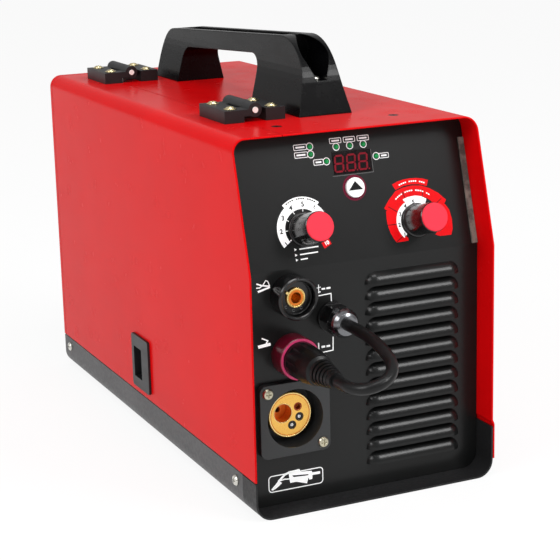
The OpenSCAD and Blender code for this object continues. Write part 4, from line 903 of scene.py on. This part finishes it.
class PrintLayer:
    """Ink of one colour on one face: flat shapes and figures gathered into one thin piece."""

    def __init__(
        self, name: str, face: Face, ink: Finish, lift: float = 0.02, body: str = "casing"
    ) -> None:
        """Starts a layer that lies `lift` millimetres above its face."""
        self.name, self.face, self.ink, self.lift, self.body = name, face, ink, lift, body
        self.shapes: list[bpy.types.Mesh] = []

    def _keep(self, curve: bpy.types.Curve, place: Matrix) -> None:
        """Makes a flat curve or a figure a mesh and keeps it."""
        holder = bpy.data.objects.new("ink", curve)
        bpy.context.scene.collection.objects.link(holder)
        mesh = plain_copy(holder, "ink")
        mesh.transform(place)
        self.shapes.append(mesh)
        discard(holder)

    def shape(self, *loops: Sequence[Point2]) -> None:
        """Adds a flat shape: its outline, and then any holes in it."""
        curve = bpy.data.curves.new("ink", "CURVE")
        curve.dimensions = "2D"
        curve.fill_mode = "BOTH"
        curve.extrude = INK_HALF
        for loop in loops:
            spline = curve.splines.new("POLY")
            spline.points.add(len(loop) - 1)
            for point, (x, y) in zip(spline.points, loop):
                point.co = (x, y, 0, 1)
            spline.use_cyclic_u = True
        self._keep(curve, Matrix.Translation((0, 0, self.lift + INK_HALF)))

    def band(self, centre: Point2, inner: float, outer: float, start: float, end: float) -> None:
        """Adds a band of a ring, from the start angle to the end angle in degrees."""
        steps = max(2, round(abs(end - start) / 4))
        angles = [math.radians(start + (end - start) * i / steps) for i in range(steps + 1)]
        arc = [on_circle(centre, outer, a) for a in angles]
        back = [on_circle(centre, inner, a) for a in reversed(angles)]
        self.shape(arc + back)

    def stroke(self, points: Sequence[Point2], width: float) -> None:
        """Adds a line of that width through the points, with square corners."""
        for (x0, y0), (x1, y1) in zip(points, points[1:]):
            run = math.hypot(x1 - x0, y1 - y0)
            ux, uy = (x1 - x0) / run, (y1 - y0) / run
            px, py, h = -uy * width / 2, ux * width / 2, width / 2
            x0, y0, x1, y1 = x0 - ux * h, y0 - uy * h, x1 + ux * h, y1 + uy * h
            self.shape([(x0 + px, y0 + py), (x0 - px, y0 - py), (x1 - px, y1 - py), (x1 + px, y1 + py)])

    def frame(self, low: Point2, high: Point2, width: float, radius: float) -> None:
        """Adds an outlined box with rounded corners."""
        self.shape(round_box(low, high, radius), round_box(
            (low[0] + width, low[1] + width), (high[0] - width, high[1] - width), max(0.1, radius - width)
        ))

    def figure(self, text: str, place: Point2, height: float, turn: float = 0.0) -> None:
        """Adds a number, centred on its place, with capitals of that height."""
        curve = bpy.data.curves.new("figure", "FONT")
        curve.body = text
        curve.size = height / 0.7
        curve.align_x = curve.align_y = "CENTER"
        curve.extrude = INK_HALF
        curve.offset = 0.04 * height
        spin = Matrix.Rotation(math.radians(turn), 4, "Z")
        self._keep(curve, Matrix.Translation((*place, self.lift + INK_HALF)) @ spin)

    def build(self, slot: str) -> bpy.types.Object:
        """Joins the layer's shapes into one piece on its face."""
        shape = bmesh.new()
        for mesh in self.shapes:
            shape.from_mesh(mesh)
            bpy.data.meshes.remove(mesh)
        bmesh.ops.remove_doubles(shape, verts=shape.verts, dist=WELD)
        bmesh.ops.recalc_face_normals(shape, faces=shape.faces)
        shape.transform(self.face.matrix())
        piece = as_object(self.name, to_mesh(shape, self.name))
        return settle(piece, self.body, self.ink)


def round_box(low: Point2, high: Point2, radius: float, steps: int = 5) -> list[Point2]:
    """Gives the outline of a box with rounded corners."""
    points: list[Point2] = []
    for index, (cx, cy) in enumerate((
        (high[0] - radius, high[1] - radius), (low[0] + radius, high[1] - radius),
        (low[0] + radius, low[1] + radius), (high[0] - radius, low[1] + radius),
    )):
        for i in range(steps + 1):
            angle = math.radians(90 * index + 90 * i / steps)
            points.append(on_circle((cx, cy), radius, angle))
    return points


# ---------------------------------------------------------------- stage


@dataclass
class Stage:
    """Camera, pale floor and soft studio light."""

    camera_place: Point3 = (-0.6188, -1.4165, 0.5301)
    yaw: float = 24.565
    pitch: float = -14.346
    roll: float = -1.447
    lens: float = 105.985
    sky: float = 0.6
    sky_shares: Point2 = (0.95, 1.3)
    key_power: float = 38.0
    top_share: float = 0.58
    front_share: float = 0.8
    floor_glow: float = 0.88

    def build(self) -> None:
        """Makes the camera, the floor and the lights."""
        self.camera()
        self.floor()
        self.world()
        self.lamp("key_light", (-2.3, -1.0, 1.9), (1.3, 1.3), self.key_power)
        self.lamp("top_light", (-0.1, -1.25, 2.7), (1.5, 0.7), self.key_power * self.top_share)
        self.lamp("louver_light", (1.2, -2.0, 1.75), (0.8, 0.9), self.key_power * self.front_share)
        bpy.context.scene.view_settings.view_transform = "Standard"
        LOG.info("stage: camera, floor and lights")

    def camera(self) -> None:
        """Makes the camera."""
        yaw, pitch, roll = (math.radians(a) for a in (self.yaw, self.pitch, self.roll))
        look = Vector((math.sin(yaw) * math.cos(pitch), math.cos(yaw) * math.cos(pitch), math.sin(pitch)))
        right = Vector((math.cos(yaw), -math.sin(yaw), 0.0))
        up = right.cross(look)
        across = right * math.cos(roll) + up * math.sin(roll)
        rise = up * math.cos(roll) - right * math.sin(roll)
        data = bpy.data.cameras.new("camera")
        data.lens = self.lens
        data.sensor_width = 36.0
        data.clip_start, data.clip_end = 0.05, 60.0
        camera = bpy.data.objects.new("camera", data)
        turn = Matrix((across, rise, -look)).transposed().to_4x4()
        camera.matrix_world = Matrix.Translation(self.camera_place) @ turn
        bpy.context.scene.collection.objects.link(camera)
        bpy.context.scene.camera = camera

    def floor(self) -> None:
        """Makes the pale floor that keeps the machine's shadow."""
        shape = bmesh.new()
        bmesh.ops.create_grid(shape, x_segments=8, y_segments=8, size=14.0)
        floor = as_object("floor", to_mesh(shape, "floor"))
        floor.location.z = -0.0002
        g = ShaderGraph("floor_white")
        g.surface(Base_Color=linear((248, 248, 248)), Roughness=0.85, Specular_IOR_Level=0.1)
        glow = g.add("ShaderNodeEmission")
        path = g.add("ShaderNodeLightPath")
        seen = g.maths("MAXIMUM", path.outputs["Is Camera Ray"], path.outputs["Is Glossy Ray"])
        seen = g.maths("MAXIMUM", seen, path.outputs["Is Transmission Ray"])
        mix = g.add("ShaderNodeMixShader")
        glow.inputs["Strength"].default_value = 1.0
        g.link(g.maths("MULTIPLY", seen, self.floor_glow), mix.inputs[0])
        g.link(g.shader.outputs["BSDF"], mix.inputs[1])
        g.link(glow.outputs[0], mix.inputs[2])
        g.link(mix.outputs[0], g.out.inputs["Surface"])
        floor.data.materials.append(g.material)

    def world(self) -> None:
        """Makes the plain sky: it lights a little more from overhead, and is white where it is seen."""
        world = bpy.data.worlds.new("studio")
        bpy.context.scene.world = world
        world.use_nodes = True
        tree = world.node_tree
        tree.nodes.clear()
        out = tree.nodes.new("ShaderNodeOutputWorld")
        soft = tree.nodes.new("ShaderNodeBackground")
        direction = tree.nodes.new("ShaderNodeTexCoord")
        parts = tree.nodes.new("ShaderNodeSeparateXYZ")
        fade = tree.nodes.new("ShaderNodeMapRange")
        low, high = (self.sky * share for share in self.sky_shares)
        for key, value in (("From Min", 0.0), ("From Max", 1.0), ("To Min", low), ("To Max", high)):
            fade.inputs[key].default_value = value
        tree.links.new(direction.outputs["Generated"], parts.inputs[0])
        tree.links.new(parts.outputs["Z"], fade.inputs["Value"])
        tree.links.new(fade.outputs["Result"], soft.inputs["Strength"])
        seen = tree.nodes.new("ShaderNodeBackground")
        path = tree.nodes.new("ShaderNodeLightPath")
        mix = tree.nodes.new("ShaderNodeMixShader")
        tree.links.new(path.outputs["Is Camera Ray"], mix.inputs[0])
        tree.links.new(soft.outputs[0], mix.inputs[1])
        tree.links.new(seen.outputs[0], mix.inputs[2])
        tree.links.new(mix.outputs[0], out.inputs["Surface"])

    def lamp(self, name: str, place: Point3, size: Point2, power: float) -> None:
        """Makes a soft area lamp that looks at the machine."""
        data = bpy.data.lights.new(name, "AREA")
        data.shape = "RECTANGLE"
        data.size, data.size_y = size
        data.energy = power
        lamp = bpy.data.objects.new(name, data)
        aim = Vector((0.0, 0.0, 0.16)) - Vector(place)
        lamp.matrix_world = Matrix.Translation(place) @ aim.to_track_quat("-Z", "Y").to_matrix().to_4x4()
        bpy.context.scene.collection.objects.link(lamp)


# ---------------------------------------------------------------- polarity lead


@dataclass
class PolarityLead:
    """Short lead from the gland to the plug in the lower socket."""

    radius: float = 5.0
    cuts: int = 10
    # From the gland's nut to the plug's tail
    route: tuple[Point3, ...] = (
        (-30, -260, 159), (-30, -272, 159), (-29.5, -293, 158), (-29, -314, 154), (-30, -332, 148),
        (-36.5, -345, 142), (-48, -350, 137), (-60, -346, 133.5), (-67.5, -333, 132), (-68, -314, 132),
    )

    def path(self) -> list[Vector]:
        """Gives the smooth curve through the route, straight in its first and last stretch."""
        route = [Vector(p) for p in self.route]
        last = len(route) - 1
        points: list[Vector] = []
        for i in range(last):
            a, b, c, d = route[max(i - 1, 0)], route[i], route[i + 1], route[min(i + 2, last)]
            for k in range(self.cuts):
                t = k / self.cuts
                if i in (0, last - 1):
                    points.append(b.lerp(c, t))
                else:
                    points.append((
                        b * 2 + (c - a) * t + (a * 2 - b * 5 + c * 4 - d) * t * t
                        + (b * 3 - a - c * 3 + d) * t * t * t
                    ) / 2)
        return [p * MM for p in points + [route[-1]]]

    def build(self) -> None:
        path = self.path()
        mesh = to_mesh(tube(path, lambda share: self.radius * MM), "polarity_lead")
        smooth(mesh, 60.0)
        piece = as_object("polarity_lead", mesh)
        lead = settle(piece, "casing", RUBBER_BLACK, ["lead_cable"])


# ---------------------------------------------------------------- control panel


def label_dashes(
    layer: PrintLayer, centre: Point2, radius: float, start: float, end: float, count: int, height: float
) -> None:
    """Sets a row of short plain bars along an arc, where a dial has its legend.

    Args:
        layer: Layer that is printed.
        centre: Middle of the arc.
        radius: Radius of the bars' middles.
        start: First angle in degrees.
        end: Last angle in degrees.
        count: Number of places, of which every fifth stays empty.
        height: Height of the bars.
    """
    step = (end - start) / count
    for index in range(count):
        if index % 5 != 4:
            first = start + step * (index + 0.15)
            low, high = sorted((first, first + step * 0.7))
            layer.band(centre, radius - height / 2, radius + height / 2, high, low)


@dataclass
class SpeedScale:
    """Printed scale of the wire speed knob."""

    centre: Point2 = (-50.2, 31.2)
    inner: float = 16.5
    outer: float = 23.8
    banner: float = 26.6
    figure_r: float = 20.2
    start: float = 213.0
    step: float = -32.3

    def build(self, ticks: PatternTree) -> None:
        """Prints the ring, its figures, its ticks and the legend under it."""
        white = PrintLayer("speed_scale", Face.RAKE, INK_WHITE)
        white.band(self.centre, self.inner, self.outer, self.start + 2, -20)
        white.band(self.centre, self.outer - 0.5, self.banner, 128, 50)
        for s, length in ((15.0, 17.5), (10.5, 16.5), (6.4, 6.5)):
            white.shape([(-60.9, s - 1.2), (-58.8, s), (-60.9, s + 1.2)])
            end = -56.5 + length
            white.shape([(-56.5, s - 0.55), (end, s - 0.2), (end, s + 0.9), (-56.5, s + 0.55)])
        white.build("button_white")
        figures = PrintLayer("speed_figures", Face.RAKE, INK_BLACK, 0.12)
        for number in range(1, 7):
            angle = math.radians(self.start + self.step * (number - 1))
            place = on_circle(self.centre, self.figure_r, angle)
            figures.figure(str(number), place, 3.9, 35 if number == 1 else 0)
        label_dashes(figures, self.centre, self.banner - 1.6, 122, 56, 14, 1.0)
        figures.build("black_plastic")
        tab = PrintLayer("speed_limit_tab", Face.RAKE, INK_RED)
        tab.shape([(-35.8, 17.6), (-33.6, 12.8), (-26.8, 16.0), (-28.6, 20.8)])
        tab.build("cap_red")
        limit = PrintLayer("speed_limit_figure", Face.RAKE, INK_WHITE, 0.12)
        limit.figure("10", (-31.0, 17.0), 3.2, 20)
        limit.build("button_white")
        bar = bmesh.new()
        place = Matrix.Translation((self.inner - 1.2, 0, 0.06)) @ Matrix.Diagonal((2.0, 0.6, 0.08, 1.0))
        bmesh.ops.create_cube(bar, size=1.0, matrix=place)
        piece = ticks.run(
            "speed_ticks", to_mesh(bar, "tick"), INK_WHITE, Face.RAKE.at(*self.centre),
            Count=7, Start=math.radians(self.start), Step=math.radians(self.step),
        )
        settle(piece, "casing", INK_WHITE)


@dataclass
class VoltageScale:
    """Printed scales of the voltage knob: a white inner ring in a red outer band."""

    centre: Point2 = (54.4, 26.1)
    band_centre: Point2 = (58.4, 27.0)

    def build(self) -> None:
        """Prints the red band, its divisions, the white ring and its figures."""
        red = PrintLayer("voltage_band", Face.RAKE, INK_RED)
        wings = [
            (26.5, 39.9), (31.6, 46.2), (39.1, 53.0), (47.0, 55.4), (55.5, 56.2),
            (64.0, 55.3), (72.0, 52.2), (80.0, 47.2), (86.5, 40.8),
        ]
        left = [
            (27.9, 37.4), (27.3, 31.0), (27.6, 25.0), (29.2, 18.6), (31.0, 14.4), (33.6, 9.9), (45.2, 10.2),
        ]
        turns = [math.radians(a) for a in range(228, -52, -6)]
        inner = [on_circle(self.band_centre, 19.6, a) for a in turns]
        right = [(75.8, 10.6), (87.0, 10.5), (89.1, 15.4), (89.6, 24.0), (88.2, 32.0), (84.6, 37.6)]
        red.shape(wings + list(reversed(right)) + list(reversed(inner)) + list(reversed(left)))
        red.shape([
            (39.4, 54.0), (36.8, 58.9), (42.0, 60.9), (48.0, 62.1), (54.7, 62.5), (61.0, 62.1),
            (66.6, 61.1), (71.8, 59.3), (69.6, 54.3), (62.0, 56.6), (55.0, 57.3), (47.0, 56.5),
        ])
        red.build("cap_red")
        cuts = PrintLayer("voltage_divisions", Face.RAKE, INK_BLACK, 0.11)
        for line in (
            ((27.8, 25.3), (37.6, 25.0)), ((30.6, 40.5), (39.2, 34.8)), ((45.8, 51.6), (47.6, 45.4)),
            ((65.1, 51.8), (63.9, 44.8)), ((81.7, 42.0), (75.9, 38.6)), ((33.7, 10.4), (41.0, 14.6)),
            ((26.8, 38.6), (28.6, 37.4)), ((84.6, 37.6), (86.4, 39.6)),
        ):
            cuts.stroke(line, 0.55)
        cuts.build("black_plastic")
        white = PrintLayer("voltage_scale", Face.RAKE, INK_WHITE, 0.13)
        white.band(self.centre, 14.0, 18.2, 226, -40)
        white.shape([
            (45.8, 43.6), (44.9, 45.4), (50.0, 46.9), (57.0, 47.4), (63.0, 46.2), (67.6, 43.6),
            (66.0, 40.2), (58.0, 42.6), (50.0, 42.4),
        ])
        label_dashes(white, (55.0, 27.5), 32.4, 112, 66, 13, 1.1)
        label_dashes(white, (55.0, 25.5), 26.6, 130, 52, 17, 1.1)
        white.build("button_white")
        figures = PrintLayer("voltage_figures", Face.RAKE, INK_BLACK, 0.22)
        places = ((42.4, 15.4), (38.6, 24.2), (40.6, 33.0), (46.4, 39.4), (54.6, 42.2))
        for number, place in enumerate(places, 1):
            figures.figure(str(number), place, 3.3)
        figures.build("black_plastic")


@dataclass
class StatusLegends:
    """Rings and label boxes round the status lamps."""

    lamps: tuple[Point2, ...] = (
        (-34.5, 98.0), (-34.5, 91.5), (-21.0, 84.3), (-10.4, 95.5), (2.3, 95.5), (15.0, 95.5), (25.6, 84.3)
    )
    boxes: tuple[tuple[Point2, Point2], ...] = (
        ((-49.4, 95.6), (-37.2, 100.6)), ((-49.4, 89.2), (-37.2, 94.2)), ((-33.0, 81.8), (-23.7, 86.8)),
        ((-16.0, 98.3), (-4.9, 103.0)), ((-3.1, 98.3), (8.0, 103.0)), ((9.8, 98.3), (21.0, 103.0)),
        ((28.3, 81.9), (37.6, 86.5)),
    )

    def build(self, rings: PatternTree) -> None:
        """Prints the boxes with plain bars in them, and sets a ring round each lamp."""
        white = PrintLayer("status_boxes", Face.RAKE, INK_WHITE)
        for low, high in self.boxes:
            white.frame(low, high, 0.55, 0.9)
            middle = (low[1] + high[1]) / 2
            white.shape(round_box((low[0] + 2.0, middle - 0.7), (high[0] - 2.0, middle + 0.7), 0.3))
        white.build("button_white")
        points = bpy.data.meshes.new("lamp_points")
        points.from_pydata([(x, y, 0.06) for x, y in self.lamps], [], [])
        piece = rings.run(
            "lamp_rings", points, INK_WHITE, Face.RAKE.matrix(), Outer=3.3, Inner=2.6, Height=0.08
        )
        settle(piece, "casing", INK_WHITE)


@dataclass
class Display:
    """Three seven-segment digits behind the tinted window."""

    origin: Point2 = (-14.2, 74.6)
    pitch: float = 11.2
    width: float = 7.4
    height: float = 13.2
    stroke: float = 1.6
    lean: float = 0.09
    top: float = 0.42

    def segment(self, start: Point2, end: Point2) -> list[Point2]:
        """Gives the six-cornered outline of a segment between two ends."""
        h, gap = self.stroke / 2, 0.22
        dx, dy = end[0] - start[0], end[1] - start[1]
        run = math.hypot(dx, dy)
        ux, uy = dx / run, dy / run
        a, b = gap, run - gap
        corners = [(a, 0), (a + h, h), (b - h, h), (b, 0), (b - h, -h), (a + h, -h)]
        points = [(start[0] + ux * u - uy * v, start[1] + uy * u + ux * v) for u, v in corners]
        return [(x + self.lean * y, y) for x, y in points]

    def build(self, row: PatternTree) -> None:
        """Makes one digit with its point and repeats it."""
        w, h = self.width, self.height
        digit = PrintLayer("digit", Face.RAKE, SEGMENT_RED, 0.0)
        for start, end in (
            ((0, 0), (w, 0)), ((0, h / 2), (w, h / 2)), ((0, h), (w, h)), ((0, 0), (0, h / 2)),
            ((0, h / 2), (0, h)), ((w, 0), (w, h / 2)), ((w, h / 2), (w, h)),
        ):
            digit.shape(self.segment(start, end))
        dot = [on_circle((w + 1.9, 0.0), 0.65, math.tau * k / 12) for k in range(12)]
        digit.shape(dot)
        shape = bmesh.new()
        for mesh in digit.shapes:
            shape.from_mesh(mesh)
            bpy.data.meshes.remove(mesh)
        bmesh.ops.remove_doubles(shape, verts=shape.verts, dist=WELD)
        bmesh.ops.recalc_face_normals(shape, faces=shape.faces)
        piece = row.run(
            "display_digits", to_mesh(shape, "digit"), SEGMENT_RED, Face.RAKE.at(*self.origin, self.top),
            Count=3, Pitch_X=self.pitch, Pitch_Z=0.0, Shrink=0.0,
        )
        settle(piece, "casing", SEGMENT_RED)
        edge = PrintLayer("display_edge", Face.RAKE, INK_GREY)
        edge.stroke([(-16.8, 71.2), (21.0, 71.3), (21.2, 90.4)], 0.4)
        edge.build("button_white")


@dataclass
class ModeButton:
    """Face mark and coloured surround of the mode button."""

    centre: Point2 = (1.5, 60.0)
    radius: float = 8.4
    surround: float = 10.9

    def build(self) -> None:
        """Makes the surround on the panel and the mark that rides on the button."""
        ring = PrintLayer("button_surround", Face.RAKE, INK_MAROON)
        ring.band(self.centre, self.radius + 0.3, self.surround, 359.9, 0)
        ring.build("cap_red")
        mark = PrintLayer("button_mark", Face.RAKE, INK_BLACK, 2.2, "button")
        x, y = self.centre
        mark.shape([(x - 6.6, y - 2.2), (x + 6.6, y - 2.2), (x, y + 5.4)])
        mark.build("black_plastic")


@dataclass
class ControlKnob:
    """Rounded foot ring of one rotary knob, found by the place of its cap."""

    cap: str
    body: str

    def build(self) -> None:
        """Makes the foot ring round the knob."""
        cap_low, cap_high = self.extent(self.cap)
        centre = ((cap_low.x + cap_high.x) / 2, (cap_low.y + cap_high.y) / 2)
        radius = (cap_high.x - cap_low.x) / 2
        place = Face.RAKE.at(*centre)
        foot = turned([
            (radius + 1.0, 0.5), (radius + 2.6, 0.5), (radius + 2.5, 1.3),
            (radius + 1.9, 1.9), (radius + 1.0, 2.0),
        ], place)
        mesh = to_mesh(foot, self.body + "_foot")
        smooth(mesh, 50.0)
        settle(as_object(self.body + "_foot", mesh), self.body, GLOSS_BLACK)

    def extent(self, name: str) -> tuple[Vector, Vector]:
        """Gives the corners of a node in the raked panel's millimetres."""
        points = [Face.RAKE.local(v.co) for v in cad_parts[name].data.vertices]
        low = Vector([min(p[i] for p in points) for i in range(3)])
        high = Vector([max(p[i] for p in points) for i in range(3)])
        return low, high


# ---------------------------------------------------------------- front panel print


@dataclass
class FrontLegends:
    """Generic symbols on the lower front panel."""

    line: float = 0.9

    def build(self) -> None:
        """Prints the clamp, the electrode holder, the link lines and the torch."""
        white = PrintLayer("front_legends", Face.FRONT, INK_WHITE)
        self.clamp(white)
        self.holder(white)
        self.link_lines(white)
        self.torch(white)
        white.build("button_white")
        slot = PrintLayer("torch_symbol_slot", Face.FRONT, INK_BLACK, 0.12)
        slot.shape([(-69.8, 25.3), (-54.7, 23.7), (-54.6, 22.7), (-68.5, 23.6)])
        slot.build("black_plastic")

    def clamp(self, layer: PrintLayer) -> None:
        """Draws the earth clamp beside the upper socket."""
        layer.stroke([(-97.1, 195.6), (-92.5, 193.7), (-86.2, 192.6)], 1.2)
        layer.stroke([(-97.5, 192.3), (-94.9, 192.2), (-92.2, 194.0)], 0.9)
        layer.shape([(-97.0, 189.7), (-86.2, 192.2), (-85.5, 191.0), (-96.0, 188.1)])
        layer.stroke([(-91.5, 194.6), (-89.4, 197.6), (-87.6, 196.9), (-86.0, 192.9)], 0.7)

    def holder(self, layer: PrintLayer) -> None:
        """Draws the electrode holder beside the lower socket."""
        layer.shape([(-98.0, 143.6), (-90.3, 144.4), (-86.6, 144.5), (-86.3, 142.0), (-97.4, 141.0)])
        layer.stroke([(-93.8, 149.0), (-88.9, 146.5), (-90.3, 144.5)], 1.1)

    def link_lines(self, layer: PrintLayer) -> None:
        """Draws the lines that join the gland to both polarities, and their short bars."""
        layer.stroke([(-42.8, 178.4), (-30.2, 179.0), (-29.9, 170.1)], self.line)
        layer.stroke([(-29.0, 140.9), (-29.2, 129.7), (-39.0, 129.1)], self.line)
        layer.stroke([(-41.6, 187.7), (-41.6, 181.0)], 0.7)
        layer.stroke([(-43.3, 185.2), (-39.9, 185.6)], 0.6)
        layer.stroke([(-42.9, 181.6), (-40.4, 181.6)], 1.0)
        layer.stroke([(-42.6, 137.4), (-42.4, 132.5)], 1.1)
        for low, high in (
            ((-38.9, 183.1), (-35.5, 184.6)), ((-34.5, 183.1), (-30.6, 184.7)),
            ((-39.9, 133.1), (-36.5, 134.9)), ((-35.4, 133.1), (-31.9, 134.8)),
        ):
            layer.shape(round_box(low, high, 0.35))

    def torch(self, layer: PrintLayer) -> None:
        """Draws the wire torch in its outlined box under the torch socket."""
        layer.frame((-91.9, 13.2), (-40.6, 28.2), 0.85, 3.4)
        layer.shape([
            (-89.6, 15.9), (-87.0, 18.4), (-82.5, 22.8), (-79.2, 20.3), (-84.2, 16.7), (-88.0, 15.0),
        ])
        layer.stroke([(-82.0, 22.6), (-76.6, 27.2), (-72.4, 28.4)], 1.9)
        layer.stroke([(-80.6, 22.6), (-76.7, 23.2), (-72.4, 22.6)], 1.0)
        layer.shape([
            (-73.4, 29.4), (-62.8, 29.8), (-62.3, 28.3), (-67.6, 27.7), (-51.5, 26.1), (-50.9, 24.5),
            (-43.6, 24.4), (-43.5, 22.0), (-50.8, 22.2), (-51.0, 18.8), (-53.7, 18.5), (-54.6, 20.8),
            (-56.1, 15.6), (-65.8, 18.9), (-71.7, 18.9), (-72.4, 22.8), (-72.8, 26.6),
        ])


# ---------------------------------------------------------------- sockets, torch and hinges


@dataclass
class TurnedRing:
    """Ring turned about an axis that stands square on the front panel."""

    name: str
    centre: Point2
    inner: float
    outer: float
    low: float
    high: float
    finish: Finish
    slot: str

    def build(self) -> None:
        """Makes the ring with a small bevel on its front edges."""
        bevel = min(0.25, (self.outer - self.inner) / 4, (self.high - self.low) / 2)
        profile = [
            (self.inner, self.low), (self.outer, self.low),
            (self.outer, self.high - bevel), (self.outer - bevel, self.high),
            (self.inner + bevel, self.high), (self.inner, self.high - bevel),
        ]
        mesh = to_mesh(turned(profile, Face.FRONT.at(*self.centre)), self.name)
        smooth(mesh, 40.0)
        settle(as_object(self.name, mesh), "casing", self.finish)


@dataclass
class SocketTrim:
    """Ridge, key and throat of the upper weld socket, and the light rim of the lower one."""

    upper: Point2 = (-68.0, 183.0)
    lower: Point2 = (-68.0, 132.0)
    floor: float = 10.0
    insert_face: float = 12.0
    rim_face: float = 18.0

    def build(self) -> None:
        """Makes the trim of both sockets."""
        floor, face, rim = self.floor, self.insert_face, self.rim_face
        for name, centre, inner, outer, low, height, finish, slot in (
            ("socket_ridge", self.upper, 13.2, 14.1, floor, 2.6, GLOSS_BLACK, "gloss_black"),
            ("socket_throat", self.upper, 4.65, 6.5, face, 0.06, BRONZE, "brass"),
            ("insert_rim", self.upper, 7.3, 8.2, face, 0.25, BRIGHT_BRASS, "brass"),
            ("lower_rim", self.lower, 15.4, 17.5, rim, 0.08, RIM_PINK, "socket_red"),
        ):
            TurnedRing(name, centre, inner, outer, low, low + height, finish, slot).build()
        self.key()
        self.marks()

    def key(self) -> None:
        """Makes the key at the insert's upper left."""
        shape = bmesh.new()
        turn = Matrix.Rotation(math.radians(148), 4, "Z")
        place = turn @ Matrix.Translation((8.9, 0, self.insert_face - 1.0))
        block = Matrix.Diagonal((2.6, 2.2, 2.0, 1.0))
        bmesh.ops.create_cube(shape, size=1.0, matrix=Face.FRONT.at(*self.upper) @ place @ block)
        settle(as_object("insert_key", to_mesh(shape, "insert_key")), "casing", BRIGHT_BRASS)

    def marks(self) -> None:
        """Makes the small raised marks on the socket's inner floor."""
        marks = PrintLayer("socket_marks", Face.FRONT, INK_GREY, self.floor)
        for angle in (222, 262, 300):
            marks.band(on_circle(self.upper, 10.9, math.radians(angle)), 0.95, 1.3, 40, 320)
        marks.build("gloss_black")


@dataclass
class TorchTrim:
    """Turned lines, bright bore edges, linings and contacts in the torch socket's brass face, with painted
    shade in and round the gas hole.
    """

    centre: Point2 = (-68.0, 77.5)
    face: float = -5.0
    wire: Point2 = (-74.6, 79.8)
    gas: Point2 = (-60.7, 83.6)
    pins: tuple[Point2, ...] = ((-59.4, 74.6), (-66.3, 68.2))

    def build(self) -> None:
        """Makes every ring of the face."""
        f = self.face
        self.ring("torch_rim", self.centre, 18.3, 19.3, f, f + 0.35, BRIGHT_BRASS)
        self.ring("torch_groove", self.centre, 17.5, 18.1, f, f + 0.05, BRONZE)
        self.ring("wire_bore_edge", self.wire, 8.05, 8.6, f, f + 0.2, BRIGHT_BRASS)
        self.ring("wire_bore_lining", self.wire, 7.75, 7.96, f - 34.0, f - 0.3, BRONZE)
        self.ring("wire_bore_seat", self.wire, 2.4, 7.75, f - 13.0, f - 11.0, BRONZE)
        # The gas hole's face ring and lining are dark reddish bronze: painted shade in and round the hole
        self.ring("gas_hole_edge", self.gas, 2.65, 3.7, f, f + 0.12, PAINTED_SHADE_BRONZE)
        self.ring("gas_hole_lining", self.gas, 2.3, 2.55, f - 19.0, f - 0.2, PAINTED_SHADE_BRONZE)
        self.ring("gas_hole_seat", self.gas, 1.0, 2.3, f - 5.0, f - 4.0, BRONZE)
        for index, pin in enumerate(self.pins):
            self.ring(f"pin_sleeve_{index}", pin, 3.05, 3.8, f, f + 0.3, GLOSS_BLACK, "gloss_black")
            self.ring(f"pin_contact_{index}", pin, 0.6, 1.38, f - 4.0, f - 0.35, BUTTON_WHITE, "zinc")

    def ring(
        self, name: str, centre: Point2, inner: float, outer: float, low: float, high: float,
        finish: Finish, slot: str = "brass",
    ) -> None:
        """Makes one ring."""
        TurnedRing(name, centre, inner, outer, low, high, finish, slot).build()


@dataclass
class HingeWashers:
    """Plain washers under the hinge screws."""

    pin_x: float = -59.5
    across: float = 19.0
    middles: tuple[float, float] = (-123.0, 182.0)
    along: float = 19.0
    top: float = 326.0

    def build(self, rings: PatternTree) -> None:
        """Makes the washers of the casing's leaves and those of the door's leaves."""
        for side, body in ((1, "casing"), (-1, "door")):
            name = f"{body}_hinge_washers"
            points = bpy.data.meshes.new(name + "_points")
            x = self.pin_x + side * self.across
            points.from_pydata(
                [(x, y + d * self.along, self.top + 0.3) for y in self.middles for d in (-1, 1)], [], []
            )
            piece = rings.run(
                name, points, YELLOW_ZINC, Matrix.Scale(MM, 4), Outer=5.6, Inner=3.8, Height=0.6
            )
            settle(piece, body, YELLOW_ZINC)


# ---------------------------------------------------------------- assembly


def main() -> None:
    """Builds the stage, dresses the frame and adds each sub-assembly."""
    logging.basicConfig(level=logging.INFO, format="%(name)s: %(message)s")
    Stage().build()
    PolarityLead().build()
    SHOP.dress_frame()
    polar, row, rings = polar_tree(), row_tree(), ring_tree()
    SpeedScale().build(polar)
    VoltageScale().build()
    StatusLegends().build(rings)
    Display().build(row)
    ModeButton().build()
    ControlKnob("wire_speed_cap", "speed_dial").build()
    ControlKnob("voltage_cap", "voltage_dial").build()
    FrontLegends().build()
    SocketTrim().build()
    TorchTrim().build()
    HingeWashers().build(rings)


if __name__ == "__main__":
    main()
